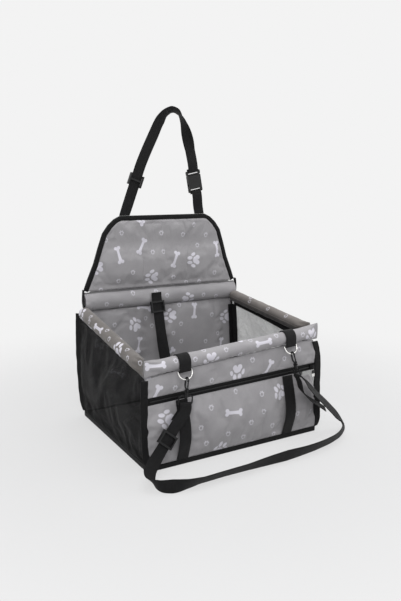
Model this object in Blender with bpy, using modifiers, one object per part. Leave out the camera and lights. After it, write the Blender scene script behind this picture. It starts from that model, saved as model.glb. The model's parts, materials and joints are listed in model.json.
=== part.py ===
"""Dog car seat: a soft basket on a tube rim, with a folding backrest and its straps.

Frame: metres, +Z up, the front faces -Y and +X is to the right seen from the front.
The origin is the centre of the underside of the base, on the floor.
"""
import math

import bpy
import bmesh
from mathutils import Matrix, Vector

# Basket
basket_width = 0.400
basket_depth = 0.330
fabric = 0.0016
gap = 0.0003
overrun = 0.002
wall_top_step = 0.0142

# Rim: the axes of the tubes, which climb from the front to the back
rim_front_left = 0.200
rim_front_right = 0.219
rim_back_left = 0.2425
rim_back_right = 0.2390
rim_half_span = 0.1865
left_rail_out = 0.0105
front_rail_half = 0.1990
rim_front_y = -0.157
rim_back_y = 0.158
tube_radius = 0.0100
tube_wall = 0.0020
tube_end_step = 0.022
tube_corner_step = 0.0335
sleeve_radius = 0.0138
sleeve_wall = 0.0034
sleeve_flat_length = 0.0300
sleeve_flat_half_depth = 0.0028
sleeve_flat_half_height = 0.0172
sleeve_flat_wall = 0.0018
flat_rings = 5
corner_step = 0.0145
back_band_left = 0.2612
back_band_right = 0.2517
band_half_height = 0.0195
band_seam_height = 0.0040
band_seam_thickness = 0.0010

# Base
floor_thickness = 0.0020
board_thickness = 0.0030
board_margin = 0.010
lining_thickness = 0.0050
lining_crown = 0.0030
lining_groove = 0.0018
lining_channels = 4
base_corner = 0.006
binding_height = 0.0110
binding_thickness = 0.0020

# Walls
top_front_y = -0.1600
top_back_y = 0.1600
top_half_width = 0.1885
front_left_out = 0.0100
back_left_out = 0.0150
flat_lead = 0.0060
corner_binding_width = 0.0096
corner_binding_thickness = 0.0026
corner_overlap = 0.0006
wide_binding_width = 0.0130
bow_front_left = 0.0020
bow_front_right = 0.0060
bow_back_left = 0.0040
bow_back_right = 0.0030
high_bow_power = 3.0
mesh_bulge = 0.0060
mesh_fold = 0.0030
back_bulge = 0.0030
back_fold = 0.0012
back_wall_spread = 0.0036
pocket_bulge = 0.0100
upper_bulge = 0.0012
pocket_depth = 0.0095
pocket_corner_drop = 0.018
pocket_corner_pull = 0.016
lining_right_inset = 0.024

# Zip across the front
zip_left_height = 0.1375
zip_right_height = 0.1455
zip_band = 0.0140
zip_tape_thickness = 0.0010
zip_coil_radius = 0.0013
zip_end_step = 0.0040
zip_tape_step = 0.0044
zip_clearance = 0.0003
slider_length = 0.0110
slider_width = 0.0086
slider_thickness = 0.0016
slider_end_step = 0.0094
pull_length = 0.0200
pull_width = 0.0070
pull_wire = 0.0005
pull_tab_thickness = 0.0012
bail_radius = 0.0007
bail_reach = 0.0040
bail_half_length = 0.0029

# Webbing
web_width = 0.0250
web_thickness = 0.0014
loop_x = 0.1215
loop_wrap_degrees = 232
ring_drop = 0.0140
ring_height = 0.0170
ring_width = 0.0290
ring_wire = 0.0013
ring_tilt_degrees = 25
front_strap_x_left = 0.1255
front_strap_x_right = 0.1205
front_strap_bow = 0.0070

# Snap hooks
hook_wire = 0.0018
hook_bend = 0.0050
hook_seat = 0.0004
hook_spine = 0.0185
barrel_radius = 0.0034
barrel_length = 0.0090
swivel_pin = 0.0015
swivel_head = 0.0026
swivel_head_length = 0.0014
hub_radius = 0.0040
hub_length = 0.0048
eye_half_width = 0.0146
eye_drop = 0.0150
eye_wire = 0.0015
gate_wire = 0.0013
gate_pivot = 0.0020
left_hook_tilt = -7.0
left_hook_lean = 3.0
right_hook_tilt = 8.0
right_hook_lean = 13.0
right_eye_turn = 80.0

# Strap adjusters
adjuster_width = 0.0330
adjuster_height = 0.0260
adjuster_bar = 0.0024
adjuster_rail = 0.0032
adjuster_clearance = 0.0004

# Backrest
backrest_height = 0.1617
backrest_half_width = 0.1925
backrest_outline_shares = (
    (0.000, 1.000), (0.161, 0.951), (0.370, 0.878), (0.573, 0.826),
    (0.770, 0.769), (0.880, 0.701), (0.955, 0.630), (1.000, 0.550),
)
backrest_edge = 0.0105
backrest_edge_thickness = 0.0075
backrest_pad_thickness = 0.0026
backrest_crown = 0.0022
backrest_groove = 0.0016
backrest_board_thickness = 0.0012
backrest_skin = 0.0012
backrest_clearance = 0.0009
layer_step = 0.0006

# Side-release buckle, along the right leg of the headrest strap
headrest_foot_left = -0.0920
headrest_foot_right = 0.0965
strap_seat = 0.0005
buckle_top = (0.0780, 0.5460)
buckle_place_share = 0.70
buckle_width = 0.0360
buckle_body_width = 0.0330
buckle_thickness = 0.0090
buckle_wall = 0.0018
buckle_female_length = 0.0300
buckle_bar_frame = 0.0098
buckle_bar = 0.0026
buckle_slot_width = 0.0262
buckle_male_plate = 0.0040
prong_width = 0.0032
prong_length = 0.0190
prong_spread = 0.0115
prong_thickness = 0.0040
prong_barb = 0.0032
prong_barb_length = 0.0042
prong_window = 0.0120
tongue_width = 0.0050

# Routes of the webbing: places in metres, chosen by hand along the photographed straps
headrest_route = (
    ((-0.0760, 0.1580, 0.4874), (1.00, 0.00, -0.38)),
    ((-0.0630, 0.1580, 0.5210), (1.00, 0.00, -0.38)),
    ((-0.0500, 0.1580, 0.5546), (1.00, 0.00, -0.38)),
    ((-0.0410, 0.1580, 0.5740), (1.00, 0.00, -0.38)),
    ((-0.0190, 0.1580, 0.6170), (0.89, 0.00, -0.46)),
    ((-0.0010, 0.1580, 0.6500), (0.83, 0.16, -0.53)),
    ((0.0110, 0.1585, 0.6640), (0.51, 0.55, -0.66)),
    ((0.0250, 0.1590, 0.6710), (0.14, 0.72, -0.67)),
    ((0.0380, 0.1590, 0.6700), (-0.11, 0.95, -0.28)),
    ((0.0490, 0.1585, 0.6600), (0.15, 0.98, 0.08)),
    ((0.0570, 0.1580, 0.6440), (-0.10, 0.99, -0.05)),
    ((0.0650, 0.1580, 0.6180), (-0.70, 0.69, -0.20)),
    ((0.0730, 0.1580, 0.5850), (-1.00, 0.00, -0.20)),
)
shoulder_right_strand = (
    ((0.2040, -0.1880, 0.0560), (-0.50, -0.86, -0.10)),
    ((0.1802, -0.1900, 0.0728), (-0.42, -0.90, -0.10)),
    ((0.1538, -0.1920, 0.0918), (-0.34, -0.93, -0.10)),
    ((0.1350, -0.1935, 0.1110), (-0.20, -0.97, -0.05)),
)
shoulder_route = (
    ((0.1532, -0.1908, 0.1198), (-0.62, -0.76, -0.12)),
    ((0.1761, -0.1895, 0.0957), (-0.64, -0.74, -0.16)),
    ((0.2038, -0.1865, 0.0696), (-0.68, -0.70, -0.16)),
    ((0.2289, -0.1845, 0.0448), (-0.78, -0.62, 0.00)),
    ((0.2420, -0.1860, 0.0300), (-0.86, -0.48, 0.20)),
    ((0.2450, -0.1950, 0.0200), (-0.78, -0.35, 0.50)),
    ((0.2370, -0.2080, 0.0150), (-0.50, -0.45, 0.74)),
    ((0.2200, -0.2215, 0.0129), (-0.33, -0.42, 0.84)),
    ((0.1950, -0.2340, 0.0120), (-0.15, -0.48, 0.86)),
    ((0.1500, -0.2470, 0.0122), (-0.04, -0.46, 0.88)),
    ((0.1030, -0.2535, 0.0124), (0.00, -0.40, 0.92)),
    ((0.0560, -0.2560, 0.0130), (0.00, -0.20, 0.98)),
    ((0.0110, -0.2565, 0.0126), (0.00, -0.36, 0.93)),
    ((-0.0390, -0.2575, 0.0118), (0.00, -0.56, 0.83)),
    ((-0.0860, -0.2575, 0.0114), (0.00, -0.60, 0.80)),
    ((-0.1370, -0.2590, 0.0112), (-0.02, -0.60, 0.80)),
    ((-0.1670, -0.2600, 0.0120), (0.05, -0.35, 0.94)),
    ((-0.1930, -0.2560, 0.0128), (0.10, 0.20, 0.97)),
    ((-0.2130, -0.2440, 0.0135), (-0.30, 0.05, 0.95)),
    ((-0.2210, -0.2270, 0.0165), (-0.62, 0.22, 0.75)),
    ((-0.2160, -0.2100, 0.0245), (-0.85, 0.25, 0.46)),
    ((-0.2010, -0.1995, 0.0375), (-0.88, 0.20, 0.43)),
    ((-0.1870, -0.1945, 0.0510), (-0.90, 0.05, 0.42)),
    ((-0.1700, -0.1905, 0.0700), (-0.90, 0.00, 0.42)),
    ((-0.1529, -0.1865, 0.0891), (-0.90, 0.00, 0.42)),
)
tether_route = (
    ((-0.0240, 0.1434, 0.2690), (1.00, 0.00, 0.00)),
    ((-0.0240, 0.1424, 0.2600), (1.00, 0.00, 0.00)),
    ((-0.0240, 0.1402, 0.2500), (1.00, 0.00, 0.00)),
    ((-0.0240, 0.1367, 0.2370), (1.00, 0.00, 0.00)),
    ((-0.0240, 0.1297, 0.2110), (1.00, 0.00, 0.00)),
    ((-0.0240, 0.1214, 0.1800), (1.00, 0.00, 0.00)),
    ((-0.0240, 0.1085, 0.1400), (0.93, -0.36, 0.00)),
    ((-0.0240, 0.0910, 0.1000), (0.97, -0.20, 0.00)),
    ((-0.0240, 0.0690, 0.0650), (1.00, 0.00, 0.00)),
    ((-0.0240, 0.0450, 0.0400), (1.00, 0.00, 0.00)),
    ((-0.0240, 0.0250, 0.0275), (1.00, 0.00, 0.00)),
    ((-0.0240, 0.0100, 0.0220), (1.00, 0.00, 0.00)),
)
tether_adjuster_index = 3
tether_hook_place = (-0.0240, -0.0520, 0.0184)
headrest_adjuster_place = 1
shoulder_adjuster_index = -2
tether_tail = 0.016


def clear_scene():
    for thing in list(bpy.data.objects):
        bpy.data.objects.remove(thing, do_unlink=True)


def new_collection(name):
    collection = bpy.data.collections.new(name)
    bpy.context.scene.collection.children.link(collection)
    return collection


def make_material(name, color, roughness, metallic=0.0):
    material = bpy.data.materials.new(name)
    material.use_nodes = True
    shader = material.node_tree.nodes["Principled BSDF"]
    shader.inputs["Base Color"].default_value = (*color, 1.0)
    shader.inputs["Roughness"].default_value = roughness
    shader.inputs["Metallic"].default_value = metallic
    return material


clear_scene()
seat = new_collection("dog_car_seat")

print_cloth = make_material("printed_oxford", (0.31, 0.29, 0.29), 0.85)
plain_cloth = make_material("plain_oxford", (0.27, 0.26, 0.26), 0.88)
dark_mesh = make_material("mesh_cloth", (0.03, 0.03, 0.03), 0.80)
black_tape = make_material("binding_tape", (0.010, 0.010, 0.011), 0.80)
webbing = make_material("webbing", (0.012, 0.012, 0.013), 0.72)
black_plastic = make_material("black_plastic", (0.012, 0.012, 0.012), 0.38)
steel = make_material("plated_steel", (0.80, 0.79, 0.77), 0.18, 1.0)
black_steel = make_material("black_steel", (0.02, 0.02, 0.02), 0.35, 1.0)
pvc = make_material("pvc_tube", (0.72, 0.72, 0.70), 0.45)
board = make_material("board", (0.05, 0.05, 0.05), 0.60)


# Helpers that make one object each

def link(thing, material):
    seat.objects.link(thing)
    thing.data.materials.clear()
    thing.data.materials.append(material)
    return thing


def from_bmesh(name, built, material):
    mesh = bpy.data.meshes.new(name)
    bmesh.ops.recalc_face_normals(built, faces=built.faces)
    built.to_mesh(mesh)
    built.free()
    return link(bpy.data.objects.new(name, mesh), material)


def box(name, size, centre, material, turn=None):
    """A block with its sides along the axes, or along those of turn."""
    built = bmesh.new()
    bmesh.ops.create_cube(built, size=1.0)
    bmesh.ops.scale(built, vec=Vector(size), verts=built.verts)
    bmesh.ops.translate(built, vec=Vector(centre), verts=built.verts)
    if turn is not None:
        bmesh.ops.transform(built, matrix=turn, verts=built.verts)
    return from_bmesh(name, built, material)


def rod(name, radius, start, end, material, sides=16, turn=None):
    """A round bar between two points."""
    start = Vector(start)
    end = Vector(end)
    built = bmesh.new()
    bmesh.ops.create_cone(
        built, cap_ends=True, segments=sides, radius1=radius, radius2=radius,
        depth=(end - start).length,
    )
    aim = (end - start).to_track_quat("Z", "Y").to_matrix().to_4x4()
    place = Matrix.Translation((start + end) / 2) @ aim
    if turn is not None:
        place = turn @ place
    bmesh.ops.transform(built, matrix=place, verts=built.verts)
    return from_bmesh(name, built, material)


def wire(name, points, radius, material, closed=False, resolution=1, turn=None):
    """A round wire along points, as a curve with a bevel."""
    curve = bpy.data.curves.new(name, "CURVE")
    curve.dimensions = "3D"
    curve.bevel_depth = radius
    curve.bevel_resolution = resolution
    curve.use_fill_caps = not closed
    spline = curve.splines.new("POLY")
    spline.points.add(len(points) - 1)
    for point, place in zip(spline.points, points):
        place = Vector(place)
        if turn is not None:
            place = turn @ place
        point.co = (*place, 1.0)
    spline.use_cyclic_u = closed
    thing = bpy.data.objects.new(name, curve)
    return link(thing, material)


def plate(name, outlines, thickness, place, material):
    """A flat plate from 2D outlines, the later ones being holes, laid in the XY plane of place."""
    curve = bpy.data.curves.new(name, "CURVE")
    curve.dimensions = "2D"
    curve.fill_mode = "BOTH"
    curve.extrude = thickness / 2
    for outline in outlines:
        spline = curve.splines.new("POLY")
        spline.points.add(len(outline) - 1)
        for point, (x, y) in zip(spline.points, outline):
            point.co = (x, y, 0, 1)
        spline.use_cyclic_u = True
    thing = bpy.data.objects.new(name, curve)
    thing.matrix_world = place
    return link(thing, material)


def as_mesh(thing):
    """The object as an evaluated mesh in world space, with its loose caps welded."""
    bpy.context.view_layer.update()
    graph = bpy.context.evaluated_depsgraph_get()
    mesh = bpy.data.meshes.new_from_object(thing.evaluated_get(graph))
    built = bmesh.new()
    built.from_mesh(mesh)
    bmesh.ops.remove_doubles(built, verts=built.verts, dist=overrun / 1000)
    bmesh.ops.transform(built, matrix=thing.matrix_world, verts=built.verts)
    material = thing.data.materials[0]
    name = thing.name
    bpy.data.objects.remove(thing, do_unlink=True)
    bpy.data.meshes.remove(mesh)
    return from_bmesh(name, built, material)


def combine(first, others, operation):
    """Joins or cuts a mesh with others, which are used up."""
    first = as_mesh(first)
    for other in others:
        other = as_mesh(other)
        boolean = first.modifiers.new("combine", "BOOLEAN")
        boolean.operation = operation
        boolean.solver = "EXACT"
        boolean.object = other
        bpy.context.view_layer.update()
        graph = bpy.context.evaluated_depsgraph_get()
        mesh = bpy.data.meshes.new_from_object(first.evaluated_get(graph))
        first.modifiers.remove(boolean)
        first.data = mesh
        bpy.data.objects.remove(other, do_unlink=True)
    return first


def join(first, others):
    return combine(first, others, "UNION")


def cut(first, others):
    return combine(first, others, "DIFFERENCE")


def smooth(thing, degrees=40):
    thing.data.shade_smooth()
    thing.data.set_sharp_from_angle(angle=math.radians(degrees))
    return thing


def sheet(name, across, along, place, thickness, material, even=True):
    """A cloth: a grid whose corners u, v in 0 to 1 go to place(u, v), with its thickness."""
    built = bmesh.new()
    bmesh.ops.create_grid(built, x_segments=across, y_segments=along, size=0.5)
    for corner in built.verts:
        corner.co = Vector(place(corner.co.x + 0.5, corner.co.y + 0.5))
    thing = from_bmesh(name, built, material)
    shell = thing.modifiers.new("thickness", "SOLIDIFY")
    shell.thickness = thickness
    shell.offset = 0
    shell.use_even_offset = even
    return smooth(thing)


def blend(first, second, share):
    return first + (second - first) * share


def slope_at(points, index):
    """How the smooth curve through points runs at one of them, per unit of its length."""
    here = points[index]
    if index == 0:
        return (points[1] - here).normalized()
    if index == len(points) - 1:
        return (here - points[-2]).normalized()
    back = here - points[index - 1]
    ahead = points[index + 1] - here
    return (back / back.length * ahead.length + ahead / ahead.length * back.length) / (
        back.length + ahead.length)


def catmull(points, t):
    """A smooth curve through points, at t counted in spans."""
    span = min(int(t), len(points) - 2)
    local = t - span
    start = points[span]
    end = points[span + 1]
    length = (end - start).length
    tangent_in = slope_at(points, span) * length
    tangent_out = slope_at(points, span + 1) * length
    square = local * local
    cube = square * local
    return (
        start * (2 * cube - 3 * square + 1) + tangent_in * (cube - 2 * square + local)
        + end * (3 * square - 2 * cube) + tangent_out * (cube - square)
    )


def ribbon(name, route, material, steps_per_span=2, width=web_width):
    """A flat webbing along a route of points and width directions."""
    points = [Vector(point) for point, _ in route]
    widths = [Vector(direction).normalized() for _, direction in route]
    spans = len(points) - 1

    def place(u, v):
        t = v * spans
        nudge = 1 / (8 * steps_per_span)
        ahead = catmull(points, min(t + nudge, spans))
        behind = catmull(points, max(t - nudge, 0))
        tangent = (ahead - behind).normalized()
        direction = blend(widths[min(int(t), spans - 1)], widths[min(int(t), spans - 1) + 1],
                          t - min(int(t), spans - 1))
        squared = min(t, spans - t, 1)
        direction = (direction - tangent * direction.dot(tangent) * squared).normalized()
        return catmull(points, t) + direction * (u - 0.5) * width

    return sheet(name, 1, spans * steps_per_span, place, web_thickness, material, even=False)


def ring_points(radius, start_degrees, turn_degrees, steps):
    """Points of an arc as (right, up) pairs, from start through turn."""
    points = []
    for step in range(steps + 1):
        angle = math.radians(start_degrees + turn_degrees * step / steps)
        points.append((radius * math.cos(angle), radius * math.sin(angle)))
    return points


# Places on the rim and the walls

def rim_height(x, y):
    """Height of the rim's axis over a place, from its four corners."""
    across = (x + rim_half_span) / (2 * rim_half_span)
    deep = (y - rim_front_y) / (rim_back_y - rim_front_y)
    front = blend(rim_front_left, rim_front_right, across)
    back = blend(rim_back_left, rim_back_right, across)
    return blend(front, back, deep)


def end_flatness(distance):
    """How far a rail's sleeve is pressed flat at a distance from its pinched end, 1 at the end."""
    share = min(max(1 - distance / sleeve_flat_length, 0), 1)
    return share * share * (3 - 2 * share)


def sleeve_halves(distance):
    """Half depth and half height of a sleeve's outside at a distance from its pinched end."""
    flatness = end_flatness(distance)
    return (blend(sleeve_radius, sleeve_flat_half_depth, flatness),
            blend(sleeve_radius, sleeve_flat_half_height, flatness))


def rail_drop(distance):
    """How far a wall's top stays under a rail's axis at a distance from the rail's pinched end."""
    return wall_top_step + (sleeve_flat_half_height - sleeve_radius) * end_flatness(distance - flat_lead)


def side_rail_x(side):
    return side * (rim_half_span + (left_rail_out if side < 0 else 0))


def side_rail_front_y(side):
    """Where a side rail starts, behind the front rail."""
    inner = abs(side_rail_x(side)) - sleeve_flat_half_depth
    return rim_front_y + sleeve_halves(front_rail_half - inner)[0] + 2 * gap


def band_height(x):
    """Height of the middle of the band that holds the back tube."""
    return blend(back_band_left, back_band_right, (x + rim_half_span) / (2 * rim_half_span))


foot_half_width = basket_width / 2 - binding_thickness / 2
foot_half_depth = basket_depth / 2 - binding_thickness / 2
wall_foot = binding_height + gap
corner_seat_front = corner_overlap + 2 * gap
corner_seat_side = corner_binding_thickness / 2 + 2 * gap


def corner_edge(side, face, v):
    """The line of a basket corner, from its foot (v 0) to the rim (v 1)."""
    bows = {(-1, -1): bow_front_left, (1, -1): bow_front_right,
            (-1, 1): bow_back_left, (1, 1): bow_back_right}
    power = high_bow_power if (side, face) == (1, -1) else 1
    out = bows[(side, face)] * math.sin(math.pi * v ** power)
    top_y = top_front_y if face < 0 else top_back_y
    top_x = top_half_width
    if side < 0:
        top_x += front_left_out if face < 0 else back_left_out
    x = side * (blend(foot_half_width, top_x, v) + out)
    y = blend(face * foot_half_depth, top_y, v)
    if face < 0:
        top = rim_height(side_rail_x(side), rim_front_y) - rail_drop(0)
    else:
        top = band_height(side * rim_half_span) - band_half_height - 2 * gap
    z = blend(wall_foot, top, v)
    return Vector((x, y, z))


def zip_height(x):
    """Middle of the zip band over a place across the front."""
    share = (x + basket_width / 2) / basket_width
    return blend(zip_left_height, zip_right_height, share)


def front_plane_y(z):
    """The front wall's plane, before it bulges."""
    top = (rim_front_left + rim_front_right) / 2 - wall_top_step
    return blend(-foot_half_depth, top_front_y, (z - wall_foot) / (top - wall_foot))


def front_edge_x(side, z):
    """Where the front wall ends beside its corner binding."""
    foot = corner_edge(side, -1, 0)
    top = corner_edge(side, -1, 1)
    v = (z - foot.z) / (top.z - foot.z)
    return corner_edge(side, -1, v).x


def pocket_bulge_at(u, v):
    return pocket_bulge * math.sin(math.pi * u) ** 0.6 * math.sin(math.pi * v)


def pocket_surface(u, v):
    """The pocket's front, from the bottom binding to the zip."""
    x = blend(front_edge_x(-1, wall_foot), front_edge_x(1, wall_foot), u)
    low = wall_foot
    high = zip_height(x) - zip_band / 2 - gap
    z = blend(low, high, v)
    x = blend(front_edge_x(-1, z), front_edge_x(1, z), u)
    x = x - corner_seat_front * (2 * u - 1)
    corner = max(0, u - 0.86) / 0.14 * max(0, v - 0.66) / 0.34
    x = x - pocket_corner_pull * corner
    z = z - pocket_corner_drop * corner * (1 - corner * 0.4)
    return Vector((x, front_plane_y(z) - pocket_bulge_at(u, v), z))


def pocket_front_y(x, z):
    """The pocket's front at a place, for what is sewn over it."""
    high = zip_height(x) - zip_band / 2
    v = min(max((z - wall_foot) / (high - wall_foot), 0), 1)
    u = min(max((x - front_edge_x(-1, z)) / (front_edge_x(1, z) - front_edge_x(-1, z)), 0), 1)
    return front_plane_y(z) - pocket_bulge_at(u, v)


# Base

def rounded_rectangle(half_x, half_y, radius, steps=4):
    points = []
    for side_x, side_y, start in ((1, 1, 0), (-1, 1, 90), (-1, -1, 180), (1, -1, 270)):
        for right, up in ring_points(radius, start, 90, steps):
            points.append((side_x * (half_x - radius) + right, side_y * (half_y - radius) + up))
    return points


def flat(z):
    return Matrix.Translation((0, 0, z))


def build_base():
    half_x = basket_width / 2 - binding_thickness - gap
    half_y = basket_depth / 2 - binding_thickness - gap
    inner = base_corner - binding_thickness
    plate("floor_panel", [rounded_rectangle(half_x, half_y, inner)], floor_thickness,
          flat(floor_thickness / 2), plain_cloth)
    board_z = floor_thickness + gap + board_thickness / 2
    board_x = half_x - fabric - board_margin
    board_y = half_y - fabric - board_margin
    plate("base_board", [rounded_rectangle(board_x, board_y, inner)], board_thickness,
          flat(board_z), board)
    plate("bottom_binding",
          [rounded_rectangle(basket_width / 2, basket_depth / 2, base_corner),
           rounded_rectangle(half_x + gap, half_y + gap, inner)],
          binding_height, flat(binding_height / 2), black_tape)
    build_floor_lining(board_x, board_y, board_z + board_thickness / 2 + gap)


def build_floor_lining(half_x, half_y, bottom):
    def place(u, v):
        crown = lining_crown * (math.sin(math.pi * u) * math.sin(math.pi * v)) ** 0.5
        wave = abs(math.sin(math.pi * lining_channels * v))
        drawn = 1 - 0.012 * (1 - abs(2 * v - 1)) * (1 - wave)
        z = bottom + lining_thickness / 2 + max(0, crown - lining_groove * (1 - wave) ** 4)
        return (half_x * (2 * u - 1) * drawn, half_y * (2 * v - 1), z)

    sheet("floor_lining", 10, 24, place, lining_thickness, plain_cloth)


# Walls

def build_front():
    sheet("front_pocket_panel", 26, 12, pocket_surface, fabric, print_cloth)

    def upper(u, v):
        x = blend(corner_edge(-1, -1, 1).x, corner_edge(1, -1, 1).x, u)
        low = zip_height(x) + zip_band / 2 + gap
        high = rim_height(x, rim_front_y) - rail_drop(front_rail_half - abs(x))
        z = blend(low, high, v)
        edge = blend(front_edge_x(-1, z), front_edge_x(1, z), u) - corner_seat_front * (2 * u - 1)
        wave = math.sin(math.pi * v) * math.sin(5 * math.pi * u) ** 2
        return (edge, front_plane_y(z) - upper_bulge * wave, z)

    sheet("front_upper_panel", 24, 4, upper, fabric, print_cloth)

    def lining(u, v):
        left = -top_half_width + corner_step
        right = top_half_width - lining_right_inset
        x = blend(left, right, u)
        z = blend(floor_thickness + gap, zip_height(x) + zip_band / 2, v)
        sag = fabric * math.sin(math.pi * u) * math.sin(math.pi * v)
        return (x, front_plane_y(z) + blend(pocket_depth, fabric + zip_tape_thickness, v ** 4) + sag, z)

    sheet("pocket_lining", 12, 8, lining, fabric, plain_cloth)


def side_wall(name, side, material):
    back_top = rim_height(side_rail_x(side), top_back_y) - wall_top_step
    back_share = (back_top - wall_foot) / (corner_edge(side, 1, 1).z - wall_foot)

    def place(u, v):
        front = corner_edge(side, -1, v)
        back = corner_edge(side, 1, v * back_share)
        spot = blend(front, back, u)
        spot.y -= corner_seat_side * (2 * u - 1)
        top = rim_height(side_rail_x(side), spot.y) - rail_drop(spot.y - side_rail_front_y(side))
        spot.z = blend(wall_foot, top, v)
        out = mesh_bulge * math.sin(math.pi * u) * math.sin(math.pi * v)
        crease = math.exp(-((u - 0.30 - 0.45 * (1 - v)) / 0.05) ** 2)
        crease += math.exp(-((u - 0.80 - 0.12 * (1 - v)) / 0.04) ** 2)
        crease -= math.exp(-((u - 0.55) / 0.06) ** 2) * 0.6
        spot.x += side * (out + mesh_fold * crease * math.sin(math.pi * v) * math.sin(math.pi * u))
        return spot

    sheet(name, 22, 10, place, fabric / 2, material)


def back_wall(name, forward, material, folds):
    def place(u, v):
        spot = blend(corner_edge(-1, 1, v), corner_edge(1, 1, v), u)
        spot.x -= corner_seat_side * (2 * u - 1)
        spot.z = blend(wall_foot, band_height(spot.x) - band_half_height - gap, v)
        spot.y -= forward
        wave = math.sin(math.pi * u) * math.sin(math.pi * v)
        spot.y -= back_bulge * wave + folds * math.sin(7 * u + 3 * v) * wave
        return spot

    sheet(name, 18, 8, place, fabric, material)


def corner_binding(name, side, face, direction, foot_width=corner_binding_width):
    """A folded tape that stands out from a corner seam."""
    direction = Vector(direction).normalized()

    def place(u, v):
        v = blend(0.030, 0.985, v)
        spot = corner_edge(side, face, v)
        width = blend(foot_width, corner_binding_width, v ** 3)
        return spot + direction * (width * u - corner_overlap)

    sheet(name, 2, 12, place, corner_binding_thickness, black_tape)


def build_walls():
    build_front()
    side_wall("left_mesh_panel", -1, dark_mesh)
    side_wall("right_mesh_panel", 1, dark_mesh)
    back_wall("back_inner_panel", back_wall_spread / 2, print_cloth, back_fold)
    back_wall("back_outer_panel", -back_wall_spread / 2, plain_cloth, 0)
    corner_binding("front_left_binding", -1, -1, (-1, -0.1, 0))
    corner_binding("front_right_binding", 1, -1, (1, -0.1, 0), wide_binding_width)
    corner_binding("back_left_binding", -1, 1, (-0.6, 0.8, 0))
    corner_binding("back_right_binding", 1, 1, (0.6, 0.8, 0))


# Rim

def along(start, end):
    """A frame whose Z runs from start to end, at their middle, with its Y as near up as can be."""
    start = Vector(start)
    end = Vector(end)
    forward = (end - start).normalized()
    right = Vector((0, 0, 1)).cross(forward).normalized()
    up = forward.cross(right)
    turn = Matrix((right, up, forward)).transposed().to_4x4()
    return Matrix.Translation((start + end) / 2) @ turn


def oval(half_x, half_y, count=24):
    return [(half_x * math.cos(2 * math.pi * step / count), half_y * math.sin(2 * math.pi * step / count))
            for step in range(count)]


def sleeve_stations(length, pinched):
    """Distances along a sleeve for its rings, closer together where it flattens."""
    near = [sleeve_flat_length * step / flat_rings for step in range(flat_rings + 1)]
    far = [length - distance for distance in reversed(near)] if pinched == 2 else [length]
    return near + far


def pinched_sleeve(name, start, end, pinched):
    """A cloth tube with upright open ends, pressed flat and tall at its start or at both ends (pinched 1 or 2)."""
    length = (end - start).length
    up = Vector((0, 0, 1))
    right = up.cross(end - start).normalized()
    built = bmesh.new()
    rings = []
    for inside in (0, 1):
        for distance in sleeve_stations(length, pinched):
            nearest = min(distance, length - distance) if pinched == 2 else distance
            half_x, half_y = sleeve_halves(nearest)
            wall = blend(sleeve_wall, sleeve_flat_wall, end_flatness(nearest)) * inside
            middle = blend(start, end, distance / length)
            rings.append([built.verts.new(middle + right * x + up * y)
                          for x, y in oval(half_x - wall, half_y - wall)])
    count = len(rings) // 2
    order = rings[:count] + rings[count:][::-1]
    for first, second in zip(order, order[1:] + order[:1]):
        for index in range(len(first)):
            after = (index + 1) % len(first)
            built.faces.new((first[index], first[after], second[after], second[index]))
    return from_bmesh(name, built, print_cloth)


def rail_tube(name, start, end, start_step, end_step):
    forward = (end - start).normalized()
    first = start + forward * start_step
    last = end - forward * end_step
    inner = tube_radius - tube_wall
    plate(name, [oval(tube_radius, tube_radius), oval(inner, inner)], (last - first).length,
          along(first, last), pvc)


def band_outline():
    """The back band's oval, with the flat seam along its top."""
    points = oval(sleeve_radius, band_half_height, 32)
    half = band_seam_thickness / 2
    root = band_half_height - gap
    seam = [(half, root), (half, band_half_height + band_seam_height),
            (-half, band_half_height + band_seam_height), (-half, root)]
    return points[:8] + seam + points[9:]


def build_rim():
    front_half = Vector((front_rail_half, rim_front_y, rim_height(front_rail_half, rim_front_y)))
    front_start = Vector((-front_rail_half, rim_front_y, rim_height(-front_rail_half, rim_front_y)))
    pinched_sleeve("front_rail_sleeve", front_start, front_half, 2)
    rail_tube("front_rail_tube", front_start, front_half, tube_corner_step, tube_corner_step)
    for name, side in (("left_rail", -1), ("right_rail", 1)):
        across = side_rail_x(side)
        front_y = side_rail_front_y(side)
        back_y = rim_back_y - corner_step
        start = Vector((side_rail_x(side), front_y, rim_height(across, front_y)))
        end = Vector((side_rail_x(side), back_y, rim_height(across, back_y)))
        pinched_sleeve(name + "_sleeve", start, end, 1)
        rail_tube(name + "_tube", start, end, tube_corner_step, tube_end_step)
    band_half = backrest_half_width
    band_left = Vector((-band_half, rim_back_y, band_height(-band_half)))
    band_right = Vector((band_half, rim_back_y, band_height(band_half)))
    hollow = sleeve_radius - sleeve_wall
    plate("back_rail_sleeve", [band_outline(), oval(hollow, hollow)], (band_right - band_left).length,
          along(band_left, band_right), print_cloth)
    rail_tube("back_rail_tube", band_left, band_right, tube_end_step, tube_end_step)


# Zip

def zip_frame(x):
    """A frame on the zip's front face: X along the zip, Y up across it, Z out of the front."""
    slope = (zip_right_height - zip_left_height) / basket_width
    right = Vector((1, 0, slope)).normalized()
    out = Vector((0, -1, 0))
    up = out.cross(right)
    turn = Matrix((right, up, out)).transposed().to_4x4()
    z = zip_height(x)
    y = front_plane_y(blend(zip_left_height, zip_right_height, 0.5))
    return Matrix.Translation((x, y, z)) @ turn


def zip_end(side):
    """Where the zip's tape ends, short of the basket's front corner."""
    height = zip_height(side * top_half_width)
    nearest = min(abs(front_edge_x(side, height - zip_band / 2)), abs(front_edge_x(side, height + zip_band / 2)))
    return side * (nearest - zip_tape_step)


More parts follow.
